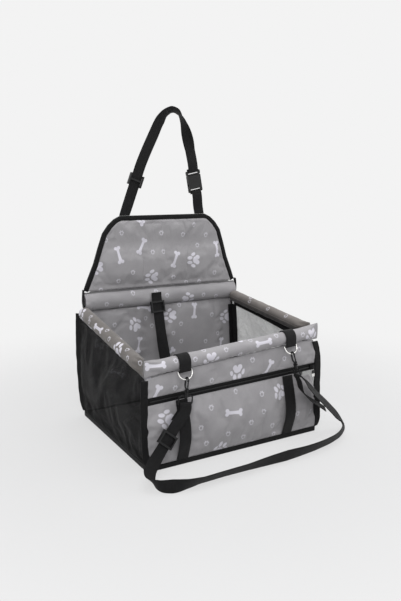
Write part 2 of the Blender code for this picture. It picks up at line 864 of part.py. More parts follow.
def build_zip():
    middle = zip_frame(0)
    left, right = zip_end(-1), zip_end(1)
    box("zip_tape", (right - left, zip_band, zip_tape_thickness), ((left + right) / 2, 0, 0), black_tape, middle)
    coil_z = zip_tape_thickness / 2 + gap + zip_coil_radius
    rod("zip_coil", zip_coil_radius, (left + zip_end_step, 0, coil_z), (right - zip_end_step, 0, coil_z),
        black_plastic, 10, middle)
    build_slider(coil_z)


def build_slider(coil_z):
    start = zip_frame(zip_end(1) - slider_end_step)
    body_z = coil_z + zip_coil_radius + zip_clearance + slider_thickness / 2
    body = box("zip_slider", (slider_length, slider_width, slider_thickness), (0, 0, body_z), steel, start)
    cheeks = []
    cheek_depth = body_z - zip_tape_thickness / 2 - zip_clearance
    for side in (-1, 1):
        cheek_y = side * (slider_width / 2 - slider_thickness / 2 - gap / 2)
        cheeks.append(box("cheek", (slider_length - gap, slider_thickness, cheek_depth),
                          (0, cheek_y, body_z - cheek_depth / 2), steel, start))
    front = body_z + slider_thickness / 2
    reach = bail_half_length
    arch = [(0, -reach, front - bail_radius), (0, -reach * 0.8, front + bail_reach * 0.7),
            (0, 0, front + bail_reach), (0, reach * 0.8, front + bail_reach * 0.7),
            (0, reach, front - bail_radius)]
    bail = wire("bail", arch, bail_radius, steel, turn=start)
    smooth(join(body, cheeks + [bail]))
    build_pull(start, front)


def build_pull(start, front):
    """The tab hangs from the slider's bail by a wire ring."""
    bar_z = front + bail_reach - bail_radius - zip_clearance - pull_wire
    half = pull_width / 2
    neck = half * 0.55
    down = pull_length * 0.36
    loop = [(-neck, 0, bar_z), (neck, 0, bar_z), (neck, -down, bar_z), (-neck, -down, bar_z)]
    ring = wire("zip_pull", loop, pull_wire, steel, closed=True, turn=start)
    centre_y = -down - (pull_length - down) / 2 + pull_wire
    tab = box("tab", (pull_width, pull_length - down, pull_tab_thickness), (0, centre_y, bar_z), black_plastic,
              start)
    smooth(join(ring, [tab]))


# Webbing on the front

def ring_bar(side):
    """The axis of a front ring's straight bar."""
    x = side * loop_x
    z = rim_height(x, rim_front_y) - ring_drop
    y = rim_front_y - (sleeve_radius + gap + web_thickness / 2) + ring_wire + gap + web_thickness / 2
    return Vector((x, y, z))


def front_loop(name, side):
    """Webbing wrapped over the front rail and round the ring's bar."""
    bar = ring_bar(side)
    axis = Vector((bar.x, rim_front_y, rim_height(bar.x, rim_front_y)))
    wrap = sleeve_radius + 2 * gap + web_thickness / 2
    turn = ring_wire + gap + web_thickness / 2
    path = []
    for out, up in ring_points(wrap, loop_wrap_degrees, -loop_wrap_degrees, 22):
        path.append((axis.y - out, axis.z + up))
    for out, up in ring_points(turn, 0, -180, 8):
        path.append((bar.y - out - (wrap - sleeve_radius - gap - web_thickness / 2), bar.z + up))

    def place(u, v):
        index = v * (len(path) - 1)
        y, z = path[round(index)]
        x = bar.x + (u - 0.5) * web_width
        slope = (rim_front_right - rim_front_left) / (2 * rim_half_span)
        return (x, y, z + slope * (x - bar.x))

    sheet(name, 1, len(path) - 1, place, web_thickness, webbing)


def ring_frame(side):
    """A frame on the ring's bar: X along it, Z up the hanging ring, which leans out."""
    slope = (rim_front_right - rim_front_left) / (2 * rim_half_span)
    level = Matrix.Rotation(-math.atan(slope), 4, "Y")
    lean = Matrix.Rotation(-math.radians(ring_tilt_degrees), 4, "X")
    return Matrix.Translation(ring_bar(side)) @ level @ lean


def d_ring(name, side):
    half = ring_width / 2
    points = [(-half, 0, 0), (0, 0, 0), (half, 0, 0)]
    for right, up in ring_points(half, 0, -180, 12):
        drop = up * (ring_height - ring_height * 0.2) / half
        points.append((right, 0, drop - ring_height * 0.2))
    thing = wire(name, points, ring_wire, steel, closed=True, turn=ring_frame(side))
    return thing


def front_strap(name, side, x):
    """A vertical webbing sewn under the zip and at the foot, bowed out between."""
    def place(u, v):
        at_x = side * x + (u - 0.5) * web_width
        low = binding_height + gap
        high = zip_height(at_x) - zip_band / 2 - gap
        z = blend(low, high, v)
        seat_y = min(pocket_front_y(side * x + share * web_width, z) for share in (-0.5, 0, 0.5))
        y = seat_y - fabric / 2 - gap - web_thickness / 2
        bow = front_strap_bow * math.sin(math.pi * v ** 0.8) ** 2
        return (at_x, y - bow - gap, z)

    sheet(name, 1, 16, place, web_thickness, webbing)


# Snap hooks: built at the seat of the ring's wire, hanging down Z, with the gate towards -Y

def hook_frame(side, tilt, lean):
    """The hook hangs from the ring, tilted sideways and leaning out at its foot."""
    seat_point = ring_frame(side) @ Vector((0, 0, -ring_height))
    sideways = Matrix.Rotation(-math.radians(tilt), 4, "Y")
    outward = Matrix.Rotation(-math.radians(lean), 4, "X")
    return Matrix.Translation(seat_point) @ sideways @ outward


hook_arc_drop = hook_bend - hook_wire - ring_wire - hook_seat
barrel_top = -hook_arc_drop - hook_spine
barrel_foot = barrel_top - barrel_length
hub_top = barrel_foot - gap
hub_foot = hub_top - hub_length
eye_bar_z = hub_foot + hub_length / 2 - eye_drop


def hook_body(name, frame):
    points = [(0, 0, barrel_top - hook_wire)]
    points.append((0, hook_bend * 0.10, barrel_top + hook_wire))
    points.append((0, hook_bend * 0.60, barrel_top + 2.2 * hook_wire))
    points.append((0, hook_bend, barrel_top + 4 * hook_wire))
    for out, up in ring_points(hook_bend, 0, 180, 10):
        points.append((0, out, up - hook_arc_drop))
    points.append((0, -hook_bend, -hook_arc_drop - hook_wire))
    bend = wire(name, points, hook_wire, black_steel, turn=frame)
    barrel = rod("barrel", barrel_radius, (0, 0, barrel_top), (0, 0, barrel_foot), black_steel, 16, frame)
    shoulder_z = barrel_top - hook_wire
    arm = box("arm", (2 * hook_wire, hook_bend + hook_wire, 2 * hook_wire),
              (0, -(hook_bend + hook_wire) / 2, shoulder_z - gap), black_steel, frame)
    pin_end = hub_foot - gap - swivel_head_length
    pin = rod("pin", swivel_pin, (0, 0, barrel_foot + overrun / 2), (0, 0, pin_end + overrun / 4), black_steel,
              12, frame)
    head = rod("head", swivel_head, (0, 0, hub_foot - gap), (0, 0, pin_end), black_steel, 12, frame)
    return smooth(join(bend, [barrel, arm, pin, head]))


def gate_pivot_z():
    return barrel_top + gap + gate_pivot


def hook_gate(name, frame):
    pivot = gate_pivot_z()
    nose = -hook_arc_drop - hook_wire - gap
    barrel = rod(name, gate_pivot, (-hook_wire, -hook_bend, pivot), (hook_wire, -hook_bend, pivot), black_steel,
                 12, frame)
    lever = rod("lever", gate_wire, (0, -hook_bend, pivot), (0, -hook_bend, nose), black_steel, 10, frame)
    return smooth(join(barrel, [lever]))


def hook_eye(name, frame, turn_degrees):
    """The swivelling eye that the webbing is sewn to."""
    spin = frame @ Matrix.Rotation(math.radians(turn_degrees), 4, "Z")
    hub = rod(name, hub_radius, (0, 0, hub_top), (0, 0, hub_foot), black_steel, 16, spin)
    middle = (hub_top + hub_foot) / 2
    shoulder = middle - hub_length * 0.4
    half = eye_half_width
    side = swivel_pin + 2 * gap
    low = middle - eye_drop
    points = [(side + eye_wire, 0, middle), (half * 0.7, 0, middle), (half, 0, shoulder),
              (half, 0, low + eye_wire), (half - eye_wire, 0, low), (-half + eye_wire, 0, low),
              (-half, 0, low + eye_wire), (-half, 0, shoulder), (-half * 0.7, 0, middle),
              (-side - eye_wire, 0, middle)]
    loop = wire("loop", points, eye_wire, black_steel, turn=spin)
    eye = join(hub, [loop])
    bore = rod("bore", swivel_pin + gap, (0, 0, hub_top + overrun), (0, 0, hub_foot - overrun), black_steel, 12,
               spin)
    return smooth(cut(eye, [bore]))


def snap_hook(prefix, frame, turn_degrees):
    hook_body(prefix + "_hook", frame)
    hook_gate(prefix + "_hook_gate", frame)
    hook_eye(prefix + "_hook_eye", frame, turn_degrees)


left_frame = hook_frame(-1, left_hook_tilt, left_hook_lean)
right_frame = hook_frame(1, right_hook_tilt, right_hook_lean)
tether_eye_turn = 90.0
tether_frame = (
    Matrix.Translation(tether_hook_place) @ Matrix.Rotation(math.radians(90), 4, "X")
    @ Matrix.Rotation(math.radians(90), 4, "Z")
)


def eye_bar(frame, turn_degrees):
    """Centre and direction of the eye's lower bar, in world space."""
    spin = frame @ Matrix.Rotation(math.radians(turn_degrees), 4, "Z")
    centre = spin @ Vector((0, 0, eye_bar_z))
    direction = (spin.to_3x3() @ Vector((1, 0, 0))).normalized()
    return centre, direction


def turn_round(centre, direction, away, start_degrees, turn_degrees, facing=1, steps=6):
    """Route points round a bar, in the plane square to it, with angles counted from away."""
    radius = eye_wire + 2 * gap + web_thickness / 2
    away = (away - direction * away.dot(direction)).normalized()
    other = direction.cross(away)
    points = []
    for right, up in ring_points(radius, start_degrees, turn_degrees, steps):
        points.append((centre + away * right + other * up, direction * facing))
    return points


# Adjusters: a three-bar slide, with the webbing passing behind the end bars and before the middle one

def adjuster(name, frame, width=adjuster_width, height=adjuster_height):
    """The frame's X is across the webbing, its Y along it and its Z out of the front face."""
    half = width / 2
    front_z = web_thickness / 2 + adjuster_clearance + adjuster_bar / 2
    depth = 2 * front_z + adjuster_bar
    pieces = []
    for side in (-1, 1):
        pieces.append(box("side", (adjuster_rail, height, depth + gap), (side * (half - adjuster_rail / 2), 0, 0),
                          black_plastic, frame))
    for end in (-1, 1):
        pieces.append(box("bar", (width - adjuster_rail, adjuster_bar * 1.5, adjuster_bar),
                          (0, end * (height - gap - adjuster_bar * 1.5) / 2, front_z), black_plastic, frame))
    pieces.append(box("bar", (width - adjuster_rail, adjuster_bar * 1.6, adjuster_bar), (0, 0, -front_z),
                      black_plastic, frame))
    first = pieces[0]
    first.name = name
    return join(first, pieces[1:])


def web_frame(point, tangent, direction):
    """A frame on the webbing: X across, Y along, Z out of its face."""
    tangent = Vector(tangent).normalized()
    direction = Vector(direction)
    direction = (direction - tangent * direction.dot(tangent)).normalized()
    face = direction.cross(tangent)
    turn = Matrix((direction, tangent, face)).transposed().to_4x4()
    return Matrix.Translation(Vector(point)) @ turn


def build_shoulder_strap():
    left_bar, left_direction = eye_bar(left_frame, 0)
    right_bar, right_direction = eye_bar(right_frame, right_eye_turn)
    over_right = turn_round(right_bar, right_direction, Vector((1, 0, -0.9)), 80, 200, -1)
    over_left = turn_round(left_bar, left_direction, Vector((0, -1, 0)), 10, -200, -1)
    top_of_run = Vector(shoulder_route[-1][0])
    behind = Vector((0, 2 * web_thickness, 0))
    run_direction = Vector(shoulder_route[-1][1])
    below = Vector((0, 0, -web_width / 3))
    tail = [(over_left[-1][0] + below, -left_direction),
            (blend(left_bar, top_of_run, 0.75) + behind, run_direction)]
    lead = [(over_left[0][0] + below, -left_direction)]
    route = list(shoulder_right_strand) + over_right + list(shoulder_route) + lead + over_left + tail
    ribbon("shoulder_strap", route, webbing)


def build_tether():
    bar, direction = eye_bar(tether_frame, tether_eye_turn)
    over = turn_round(bar, direction, Vector((0, 1, 0)), 80, 200)
    if over[0][0].z < over[-1][0].z:
        over.reverse()
    last = over[-1][0]
    tail = [(last + Vector((0, tether_tail, 0)), direction)]
    ribbon("tether_strap", list(tether_route) + over + tail, webbing)
    strap_adjuster("tether_adjuster", tether_route, tether_adjuster_index)


def strap_adjuster(name, route, place):
    """An adjuster on the straight run of a route, round its point at place."""
    point = Vector(route[place][0])
    tangent = Vector(route[place - 1][0]) - Vector(route[place + 1][0])
    adjuster(name, web_frame(point, tangent, route[place][1]))


# Backrest

def half_width_at(outline, height):
    """Half width of an outline's right side at a height over the hinge."""
    right = outline[:len(outline) // 2]
    for (low_x, low_y), (high_x, high_y) in zip(right, right[1:]):
        if height <= high_y:
            return blend(low_x, high_x, (height - low_y) / (high_y - low_y))
    return right[-1][0]


def backrest_outline(inset):
    """The outline from the right foot, over the top, to the left foot, drawn in by inset."""
    right = [Vector((share_x * backrest_half_width, share * backrest_height))
             for share, share_x in backrest_outline_shares]
    line = right + [Vector((-point.x, point.y)) for point in reversed(right)]
    drawn = []
    for index, point in enumerate(line):
        before = line[max(index - 1, 0)]
        after = line[min(index + 1, len(line) - 1)]
        way = (after - before).normalized()
        spot = point + Vector((-way.y, way.x)) * inset
        if index in (0, len(line) - 1):
            spot.y = point.y
        drawn.append((spot.x, spot.y))
    return drawn


back_slope = (back_band_right - back_band_left) / (2 * rim_half_span)
hinge_y = rim_back_y
hinge_height = band_height(0) + band_half_height + band_seam_height
hinge_frame = (
    Matrix.Translation((0, hinge_y, hinge_height)) @ Matrix.Rotation(-math.atan(back_slope), 4, "Y")
)


def upright(y):
    """A frame for outlines of X and height above the hinge line, facing the front."""
    turn = Matrix.Rotation(math.radians(90), 4, "X")
    return hinge_frame @ Matrix.Translation((0, y, backrest_clearance)) @ turn


def build_backrest():
    outer = backrest_outline(0)
    inner = backrest_outline(backrest_edge)
    plate("backrest_binding", [outer + list(reversed(inner))], backrest_edge_thickness, upright(0), black_tape)
    inset = backrest_edge + gap
    plate("backrest_board", [backrest_outline(inset)], backrest_board_thickness, upright(layer_step), board)
    skin_y = layer_step + backrest_board_thickness / 2 + gap + backrest_skin / 2
    plate("backrest_back_panel", [backrest_outline(inset)], backrest_skin, upright(skin_y), plain_cloth)
    build_backrest_pad(inset, layer_step - backrest_board_thickness / 2 - gap)


def build_backrest_pad(inset, back_y):
    outline = backrest_outline(inset + gap)
    high = backrest_height - inset - gap

    def place(u, v):
        half = half_width_at(outline, v * high)
        crown = backrest_crown * (math.sin(math.pi * u) * math.sin(math.pi * v)) ** 0.5
        groove = backrest_groove * abs(math.cos(1.5 * math.pi * v)) ** 10
        if v in (0, 1):
            groove = 0
        y = back_y - backrest_pad_thickness / 2 - max(0, crown - groove)
        return hinge_frame @ Vector((half * (2 * u - 1), y, backrest_clearance + v * high))

    sheet("backrest_front_pad", 16, 18, place, backrest_pad_thickness, print_cloth)


def backrest_top(x):
    """Height of a place just over the backrest's top edge."""
    return hinge_height + back_slope * x + backrest_clearance + backrest_height + strap_seat


# Headrest strap and its buckle

def leg_frame(share):
    """A frame on the buckle's line: X across the webbing, Y up along it, Z out of the front."""
    foot = Vector((headrest_foot_right, hinge_y, backrest_top(headrest_foot_right)))
    top = Vector((buckle_top[0], hinge_y, buckle_top[1]))
    up = (top - foot).normalized()
    out = Vector((0, -1, 0))
    right = up.cross(out)
    turn = Matrix((right, up, out)).transposed().to_4x4()
    return Matrix.Translation(blend(foot, top, share)) @ turn


def slotted_end(name, frame, low):
    """The end frame of a buckle half, with the slot that the webbing turns through."""
    outer = rounded_rectangle(buckle_width / 2, buckle_bar_frame / 2, buckle_bar)
    inner = rounded_rectangle(buckle_slot_width / 2, buckle_bar_frame / 2 - buckle_bar, buckle_bar / 3)
    place = frame @ Matrix.Translation((0, low + buckle_bar_frame / 2, 0))
    return plate(name, [outer, inner], buckle_male_plate, place, black_plastic)


def build_buckle():
    frame = leg_frame(buckle_place_share)
    half_body = buckle_female_length / 2
    end = slotted_end("buckle_female", frame, -half_body - buckle_bar_frame + buckle_bar / 2)
    shell = box("shell", (buckle_body_width, buckle_female_length, buckle_thickness), (0, 0, 0), black_plastic,
                frame)
    cavity = (buckle_body_width - 2 * buckle_wall, buckle_female_length - buckle_wall + overrun,
              buckle_thickness - 2 * buckle_wall)
    hollow = box("hollow", cavity, (0, buckle_wall / 2 + overrun / 2, 0), black_plastic, frame)
    window = box("window", (buckle_width + overrun, prong_window, prong_thickness + 4 * gap),
                 (0, -half_body + buckle_wall + prong_window / 2 + prong_width, 0), black_plastic, frame)
    cut(join(end, [shell]), [hollow, window])
    build_male(frame, half_body)


def build_male(frame, half_body):
    base = half_body + 2 * gap
    end = slotted_end("buckle_male", frame, base)
    tongue_length = buckle_female_length - 2 * buckle_wall
    tongue = box("tongue", (tongue_width, tongue_length, prong_thickness),
                 (0, base - tongue_length / 2 + buckle_bar / 2, 0), black_plastic, frame)
    join(end, [tongue])
    for side, name in ((-1, "buckle_left_prong"), (1, "buckle_right_prong")):
        root = base - gap
        arm = box(name, (prong_width, prong_length, prong_thickness),
                  (side * prong_spread, root - prong_length / 2, 0), black_plastic, frame)
        barb_x = side * (prong_spread + prong_width / 2 + prong_barb / 2 - overrun / 4)
        barb = box("barb", (prong_barb + overrun / 2, prong_barb_length, prong_thickness - gap),
                   (barb_x, root - prong_length + prong_barb_length / 2 + gap, 0), black_plastic, frame)
        join(arm, [barb])


def over_bar(frame, bar_y, end):
    """Route points over a buckle's bar, from the front through the slot to the back."""
    across = frame.to_3x3() @ Vector((1, 0, 0))
    radius = math.hypot(buckle_bar, buckle_male_plate) / 2 + gap + web_thickness / 2
    points = []
    for out, up in ring_points(radius, 0, 180, 6):
        points.append((frame @ Vector((0, bar_y - end * up, out)), across))
    tail = frame @ Vector((0, bar_y + end * 2 * buckle_bar, -radius))
    points.append((tail, across))
    return points


def build_headrest_straps():
    frame = leg_frame(buckle_place_share)
    half_body = buckle_female_length / 2
    bar_step = half_body + buckle_bar_frame - buckle_bar / 2
    seam_line = (1, 0, back_slope)
    start = Vector((headrest_foot_left, hinge_y, backrest_top(headrest_foot_left)))
    route = [(start, seam_line)] + list(headrest_route)
    for point, across in over_bar(frame, bar_step + 2 * gap, 1):
        route.append((point, -across))
    ribbon("headrest_strap", route, webbing)
    foot = leg_frame(0).translation
    low = [(foot, seam_line), (blend(foot, frame.translation, 0.2), seam_line)]
    low += over_bar(frame, buckle_bar / 2 - bar_step, -1)
    ribbon("headrest_lower_strap", low, webbing)
    strap_adjuster("headrest_adjuster", headrest_route, headrest_adjuster_place)


def build_fastenings():
    front_loop("left_front_loop", -1)
    front_loop("right_front_loop", 1)
    d_ring("left_d_ring", -1)
    d_ring("right_d_ring", 1)
    front_strap("left_front_strap", -1, front_strap_x_left)
    front_strap("right_front_strap", 1, front_strap_x_right)
    snap_hook("left", left_frame, 0)
    snap_hook("right", right_frame, right_eye_turn)
    snap_hook("tether", tether_frame, tether_eye_turn)


build_base()
build_walls()
build_rim()
build_zip()
build_fastenings()
build_shoulder_strap()
strap_adjuster("shoulder_adjuster", shoulder_route, shoulder_adjuster_index)
build_tether()
build_backrest()
build_buckle()
build_headrest_straps()
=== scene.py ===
"""Dog car seat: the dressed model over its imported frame, with camera, light and floor."""
import json
import math

import bmesh
import bpy
from mathutils import Matrix, Vector, noise
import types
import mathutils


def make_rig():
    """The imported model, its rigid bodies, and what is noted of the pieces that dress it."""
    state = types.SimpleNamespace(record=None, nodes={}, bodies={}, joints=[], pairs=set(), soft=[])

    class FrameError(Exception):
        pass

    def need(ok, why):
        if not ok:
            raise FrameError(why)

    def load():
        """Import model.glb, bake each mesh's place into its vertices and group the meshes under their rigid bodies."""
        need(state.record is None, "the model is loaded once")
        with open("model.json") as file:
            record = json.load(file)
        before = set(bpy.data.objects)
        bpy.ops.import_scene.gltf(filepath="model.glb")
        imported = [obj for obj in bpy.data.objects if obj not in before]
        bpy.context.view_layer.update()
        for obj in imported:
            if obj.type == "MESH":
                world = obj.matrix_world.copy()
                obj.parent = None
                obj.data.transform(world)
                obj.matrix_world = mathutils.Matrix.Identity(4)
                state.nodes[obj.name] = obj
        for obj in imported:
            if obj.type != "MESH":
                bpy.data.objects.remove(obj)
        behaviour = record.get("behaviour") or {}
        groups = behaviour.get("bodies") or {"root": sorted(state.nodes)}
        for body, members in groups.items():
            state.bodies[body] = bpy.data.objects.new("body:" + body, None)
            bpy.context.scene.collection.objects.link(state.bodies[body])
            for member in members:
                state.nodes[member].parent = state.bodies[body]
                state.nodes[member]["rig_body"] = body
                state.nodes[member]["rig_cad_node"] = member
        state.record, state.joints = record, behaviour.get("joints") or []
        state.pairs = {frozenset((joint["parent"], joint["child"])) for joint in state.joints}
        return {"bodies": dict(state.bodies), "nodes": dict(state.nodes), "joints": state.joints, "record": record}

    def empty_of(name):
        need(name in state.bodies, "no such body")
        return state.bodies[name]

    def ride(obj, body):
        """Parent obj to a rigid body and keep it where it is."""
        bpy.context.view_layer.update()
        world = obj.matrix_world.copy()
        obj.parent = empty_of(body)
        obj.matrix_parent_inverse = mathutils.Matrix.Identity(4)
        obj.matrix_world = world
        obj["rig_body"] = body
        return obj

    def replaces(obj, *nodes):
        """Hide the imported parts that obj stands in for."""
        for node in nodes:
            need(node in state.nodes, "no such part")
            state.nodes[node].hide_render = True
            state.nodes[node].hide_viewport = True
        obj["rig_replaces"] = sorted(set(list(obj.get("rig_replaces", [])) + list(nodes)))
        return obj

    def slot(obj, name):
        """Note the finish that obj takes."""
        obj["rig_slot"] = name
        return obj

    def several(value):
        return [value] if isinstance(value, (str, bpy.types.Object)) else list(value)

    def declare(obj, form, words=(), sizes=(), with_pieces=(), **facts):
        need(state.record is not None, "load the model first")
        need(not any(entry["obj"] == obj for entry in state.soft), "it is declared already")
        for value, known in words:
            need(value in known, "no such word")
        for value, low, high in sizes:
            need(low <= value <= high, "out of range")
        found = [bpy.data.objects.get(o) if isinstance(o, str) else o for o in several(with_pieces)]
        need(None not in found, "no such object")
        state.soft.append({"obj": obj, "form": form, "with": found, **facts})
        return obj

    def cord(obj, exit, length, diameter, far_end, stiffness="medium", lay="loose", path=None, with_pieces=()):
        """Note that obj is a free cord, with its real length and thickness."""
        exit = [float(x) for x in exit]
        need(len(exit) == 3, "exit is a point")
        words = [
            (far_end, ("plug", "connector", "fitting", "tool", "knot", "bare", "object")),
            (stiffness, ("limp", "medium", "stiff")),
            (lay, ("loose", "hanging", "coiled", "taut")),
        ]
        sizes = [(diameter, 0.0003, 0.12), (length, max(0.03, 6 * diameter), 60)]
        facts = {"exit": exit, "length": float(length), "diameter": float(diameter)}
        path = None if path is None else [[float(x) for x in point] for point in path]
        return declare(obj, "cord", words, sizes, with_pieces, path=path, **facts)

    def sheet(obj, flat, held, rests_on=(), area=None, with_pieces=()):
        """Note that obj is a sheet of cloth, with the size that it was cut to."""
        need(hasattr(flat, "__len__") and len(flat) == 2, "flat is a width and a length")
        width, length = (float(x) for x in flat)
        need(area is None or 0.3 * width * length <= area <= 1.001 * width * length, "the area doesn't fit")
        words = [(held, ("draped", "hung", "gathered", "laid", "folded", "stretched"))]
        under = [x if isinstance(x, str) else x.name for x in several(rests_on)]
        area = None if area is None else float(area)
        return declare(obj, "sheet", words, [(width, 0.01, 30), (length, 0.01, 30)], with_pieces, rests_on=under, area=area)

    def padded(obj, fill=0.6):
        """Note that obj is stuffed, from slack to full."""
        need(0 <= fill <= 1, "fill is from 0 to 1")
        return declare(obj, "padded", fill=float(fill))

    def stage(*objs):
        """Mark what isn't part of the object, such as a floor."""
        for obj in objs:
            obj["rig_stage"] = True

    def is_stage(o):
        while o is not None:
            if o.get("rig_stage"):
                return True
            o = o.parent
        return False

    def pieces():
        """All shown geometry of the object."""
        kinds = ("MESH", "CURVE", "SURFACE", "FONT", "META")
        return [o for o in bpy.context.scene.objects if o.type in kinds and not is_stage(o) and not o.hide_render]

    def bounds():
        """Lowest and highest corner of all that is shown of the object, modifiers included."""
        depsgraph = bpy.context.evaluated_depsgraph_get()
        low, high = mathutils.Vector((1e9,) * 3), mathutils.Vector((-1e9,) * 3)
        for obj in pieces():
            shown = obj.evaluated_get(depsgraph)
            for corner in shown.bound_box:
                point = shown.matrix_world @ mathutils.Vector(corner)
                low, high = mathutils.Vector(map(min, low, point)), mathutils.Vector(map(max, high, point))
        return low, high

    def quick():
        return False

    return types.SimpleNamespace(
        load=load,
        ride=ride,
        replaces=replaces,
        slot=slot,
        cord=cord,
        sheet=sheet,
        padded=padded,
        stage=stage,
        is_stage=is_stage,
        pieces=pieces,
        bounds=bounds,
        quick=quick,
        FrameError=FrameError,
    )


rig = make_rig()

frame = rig.load()
cad_low, cad_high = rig.bounds()
scene = bpy.context.scene
mm = 0.001

# Camera

target = Vector((0.0096, 0.0, 0.2744))
azimuth = math.radians(-29.9)
elevation = math.radians(12.8)
back = Vector((math.sin(azimuth) * math.cos(elevation), -math.cos(azimuth) * math.cos(elevation),
               math.sin(elevation)))
lens = bpy.data.cameras.new("camera")
lens.sensor_width = 36.0
lens.lens = 36.0 * 700 / 601
camera = bpy.data.objects.new("camera", lens)
camera.location = target + back * 1.487
camera.rotation_mode = "QUATERNION"
camera.rotation_quaternion = (-back).to_track_quat("-Z", "Y")
scene.collection.objects.link(camera)
scene.camera = camera


# Sizes of the frame that the cloth follows

basket_width, basket_depth = 0.4, 0.33
rim_half_span, rim_front_y, rim_back_y = 0.1865, -0.157, 0.158
rim = {(-1, -1): 0.2, (1, -1): 0.219, (-1, 1): 0.2425, (1, 1): 0.239}
front_rail_half = 0.199
sleeve_radius = 0.0138
band_left, band_right = 0.2612, 0.2517
band_half_height, band_seam = 0.0195, 0.004
wall_top_step = 0.0142
wall_foot = 0.0113
foot_half_width, foot_half_depth = 0.199, 0.164
top_half_width, top_front_y, top_back_y = 0.1885, -0.16, 0.16
zip_left, zip_right, zip_band = 0.1375, 0.1455, 0.014
hinge_y, hinge_height = 0.158, 0.27995
backrest_height, backrest_half = 0.1617, 0.1925
back_slope = (band_right - band_left) / (2 * rim_half_span)
fabric = 0.0016
panel_thickness = fabric * 0.7
web_width, web_thickness = 0.025, 0.0014
gap, seam_gap = 0.0003, 0.0006
flat_half_depth, flat_half_height, flat_length, flat_lead = 0.0028, 0.0172, 0.03, 0.006
left_rail_out = 0.0105
ring_wire, eye_turn_radius = 0.0013, 0.0028
binding_width, wide_binding_width, binding_thickness = 0.0096, 0.013, 0.0024
net_tape_thickness = 0.001
floor_top, lining_thickness, lining_inset = 0.0053, 0.005, 0.0139
tether_x = -0.024
wall_inset = 0.0019
backrest_lift, backrest_binding_width = 0.0009, 0.0105
board_y, board_thickness, pad_thickness, rear_thickness = 0.0006, 0.0012, 0.0026, 0.0012
bar_depth, bar_rise = 0.0026, 0.004


# Node helpers

class Nodes:
    """Short calls for building a material's node tree."""

    def __init__(self, tree):
        self.tree = tree

    def feed(self, socket, value):
        """Links an input to another node's output, or gives it a plain value."""
        if isinstance(value, bpy.types.NodeSocket):
            self.tree.links.new(value, socket)
        else:
            socket.default_value = value

    def add(self, kind, inputs=(), **settings):
        node = self.tree.nodes.new("ShaderNode" + kind)
        for key, value in settings.items():
            setattr(node, key, value)
        for socket, value in inputs:
            self.feed(node.inputs[socket], value)
        return node

    def math(self, operation, *values):
        return self.add("Math", list(enumerate(values)), operation=operation).outputs[0]

    def plus(self, first, second):
        return self.math("ADD", first, second)

    def minus(self, first, second):
        return self.math("SUBTRACT", first, second)

    def times(self, first, second):
        return self.math("MULTIPLY", first, second)

    def parts(self, place):
        return self.add("SeparateXYZ", [(0, place)]).outputs

    def spot(self):
        return self.add("TexCoord").outputs["Object"]

    def vector(self, operation, *values, out=0):
        return self.add("VectorMath", list(enumerate(values)), operation=operation).outputs[out]

    def noise(self, place, scale, detail=2.0):
        return self.add("TexNoise", [("Vector", place), ("Scale", scale), ("Detail", detail)]).outputs[0]

    def ramp(self, value, low, high, low_out=0.0, high_out=1.0):
        return self.add("MapRange", [(0, value), (1, low), (2, high), (3, low_out), (4, high_out)],
                        interpolation_type="SMOOTHSTEP").outputs[0]

    def mix(self, share, first, second):
        return self.add("Mix", [(0, share), (6, first), (7, second)], data_type="RGBA").outputs[2]

    def bump(self, height, strength, distance=0.0003):
        return self.add("Bump", [("Height", height), ("Strength", strength), ("Distance", distance)]).outputs[0]

    def dress(self, shader, **inputs):
        """Feeds the shader; an underscore stands for a space in an input's name."""
        for name, value in inputs.items():
            self.feed(shader.inputs[name.replace("_", " ")], value)

    def attribute(self, name):
        return self.add("Attribute", attribute_name=name).outputs["Vector"]


def new_material(name):
    material = bpy.data.materials.new(name)
    material.use_nodes = True
    nodes = Nodes(material.node_tree)
    shader = material.node_tree.nodes["Principled BSDF"]
    return material, nodes, shader


def linear(red, green, blue):
    """A colour given as it looks on screen, 0 to 255, as the shader wants it."""
    def one(value):
        value = value / 255
        return value / 12.92 if value <= 0.04045 else ((value + 0.055) / 1.055) ** 2.4
    return (one(red), one(green), one(blue), 1.0)


# The print: a node group that covers a paw, a bone or a small paw ring

motif_kinds = {"paw": 1.0, "bone": 2.0, "dot": 3.0}


